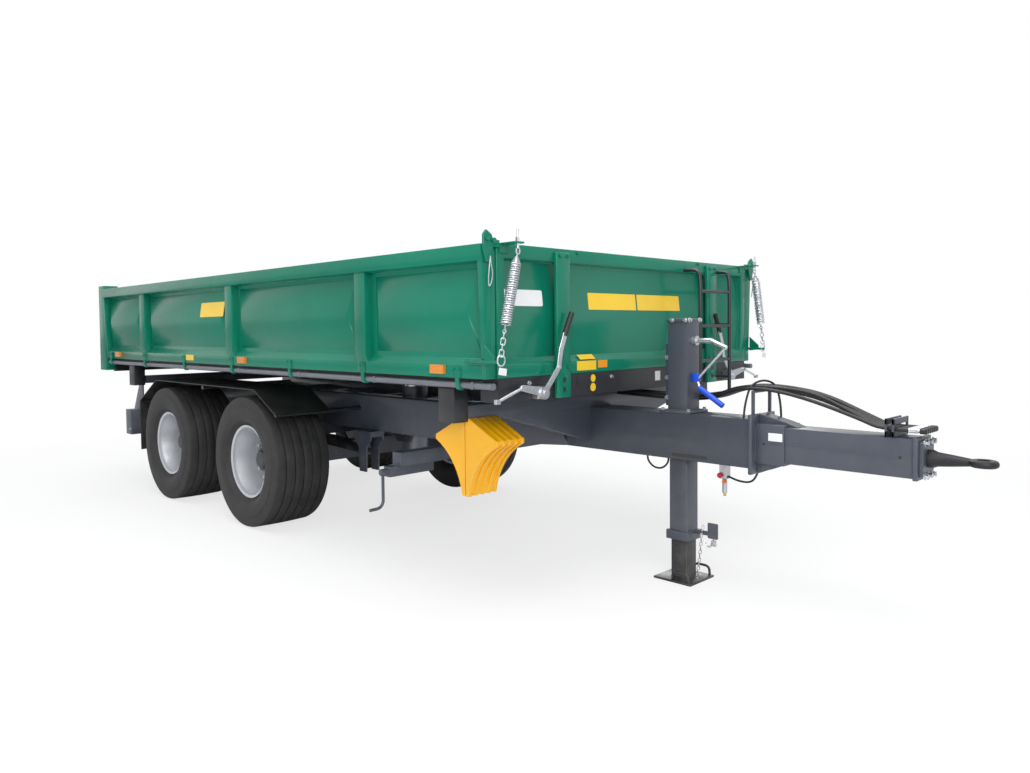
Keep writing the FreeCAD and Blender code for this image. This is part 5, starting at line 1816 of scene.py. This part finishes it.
@dataclass(frozen=True)
class Studio:
    """Pale floor and white surroundings, with soft lamps at a plain level."""

    floor: float = 60.0
    ambient: float = 0.5
    veil: float = 0.72
    shadow_reach: float = 3.2

    def light_path(self, tree: bpy.types.NodeTree) -> bpy.types.NodeSocket:
        """Tell what a ray comes from.

        Args:
            tree: the tree that asks.

        Returns:
            A socket that is one where the ray comes from the camera, a mirror or a window.
        """
        path = tree.nodes.new("ShaderNodeLightPath")
        found = path.outputs["Is Camera Ray"]
        for kind in ("Is Glossy Ray", "Is Transmission Ray"):
            either = tree.nodes.new("ShaderNodeMath")
            either.operation = "MAXIMUM"
            tree.links.new(found, either.inputs[0])
            tree.links.new(path.outputs[kind], either.inputs[1])
            found = either.outputs[0]
        return found

    def surroundings(self) -> None:
        """A world that is white to look at and softer as a light."""
        world = bpy.data.worlds.new("studio")
        bpy.context.scene.world = world
        world.use_nodes = True
        tree = world.node_tree
        ambient = tree.nodes["Background"]
        ambient.inputs["Color"].default_value = (0.93, 0.96, 1.0, 1)
        ambient.inputs["Strength"].default_value = self.ambient
        white = tree.nodes.new("ShaderNodeBackground")
        white.inputs["Color"].default_value = (1, 1, 1, 1)
        white.inputs["Strength"].default_value = 1.0
        mix = tree.nodes.new("ShaderNodeMixShader")
        tree.links.new(self.light_path(tree), mix.inputs[0])
        tree.links.new(ambient.outputs[0], mix.inputs[1])
        tree.links.new(white.outputs[0], mix.inputs[2])
        tree.links.new(mix.outputs[0], tree.nodes["World Output"].inputs["Surface"])

    def ground(self) -> None:
        """A pale floor that keeps the trailer's shadow."""
        half = self.floor
        data = bpy.data.meshes.new("studio_floor")
        corners = [(-half, -half, 0), (half, -half, 0), (half, half, 0), (-half, half, 0)]
        data.from_pydata(corners, [], [(0, 1, 2, 3)])
        floor = bpy.data.objects.new("studio_floor", data)
        bpy.context.scene.collection.objects.link(floor)
        s = Shader("studio_floor")
        s.set(Base_Color=(0.86, 0.86, 0.86), Roughness=0.9, Specular_IOR_Level=0.0)
        white = s.node("ShaderNodeEmission", {}, {"Color": (1, 1, 1), "Strength": 1.0})[0]
        seen = s.node("ShaderNodeLightPath", {}, {})[0]
        reach = s.node("ShaderNodeVectorMath", {"operation": "LENGTH"}, {0: s.point()})[1]
        far = reach.ramp(self.shadow_reach, self.shadow_reach * 2.2)
        share = seen * (far * (1 - self.veil) + self.veil)
        mixed = s.node("ShaderNodeMixShader", {}, {0: share, 1: Value(s, s.surface.outputs[0]), 2: white})[0]
        s.feed(s.tree.nodes["Material Output"].inputs["Surface"], mixed)
        data.materials.append(s.material)

    def lamp(self, name: str, stand: Point, aim: Point, size: float, power: float) -> None:
        """Hang a square soft lamp.

        Args:
            name: its name.
            stand: its place.
            aim: the place that it looks at.
            size: its side.
            power: its power in watts.
        """
        data = bpy.data.lights.new(name, "AREA")
        data.shape = "SQUARE"
        data.size = size
        data.energy = power
        made = bpy.data.objects.new(name, data)
        made.location = stand
        made.rotation_mode = "QUATERNION"
        made.rotation_quaternion = (Vector(aim) - Vector(stand)).to_track_quat("-Z", "Y")
        bpy.context.scene.collection.objects.link(made)

    def build(self) -> None:
        """Light the trailer."""
        self.surroundings()
        self.ground()
        self.lamp("overhead", (1.0, -1.5, 8.0), (0, 0, 0.5), 7.0, 620)
        self.lamp("front_right", (7.5, -6.5, 4.2), (0.5, 0, 0.9), 5.0, 420)
        self.lamp("left_fill", (-4.0, 7.5, 4.0), (0, 0, 0.9), 6.0, 260)


@dataclass(frozen=True)
class PhotoCamera:
    """The photograph's camera, solved from the trailer's own sizes."""

    stand: Point = (4.3507, -3.7916, 1.3896)
    azimuth: float = 45.9065
    pitch: float = 2.1834
    roll: float = -0.5751
    lens: float = 27.693
    shift: tuple[float, float] = (0.02562, -0.02702)

    def build(self) -> None:
        """Make it the scene's camera."""
        a, p, r = (math.radians(v) for v in (self.azimuth, self.pitch, self.roll))
        ahead = Vector((-math.sin(a) * math.cos(p), math.cos(a) * math.cos(p), -math.sin(p)))
        right = Vector((math.cos(a), math.sin(a), 0))
        up = right.cross(ahead)
        across = right * math.cos(r) + up * math.sin(r)
        above = up * math.cos(r) - right * math.sin(r)
        data = bpy.data.cameras.new("photo_camera")
        data.lens = self.lens
        data.sensor_width = 36
        data.shift_x, data.shift_y = self.shift
        data.clip_end = 200
        made = bpy.data.objects.new("photo_camera", data)
        turn = Matrix((across, above, -ahead)).transposed()
        made.matrix_world = Matrix.Translation(self.stand) @ turn.to_4x4()
        bpy.context.scene.collection.objects.link(made)
        bpy.context.scene.camera = made


def main() -> None:
    """Build the scene in order."""
    logging.basicConfig(level=logging.INFO, format="%(name)s: %(message)s")
    bpy.context.scene.view_settings.view_transform = "Standard"
    PhotoCamera().build()
    Studio().build()
    Dressing().dress()
    for kind in (Wheels, SideWalls, SideGear, Springs, FrontGear, Signs, Leg, Tongue, Hoses, Rear):
        assembly = kind()
        assembly.build()
        log.info("%s done", type(assembly).__name__)


if __name__ == "__main__":
    main()
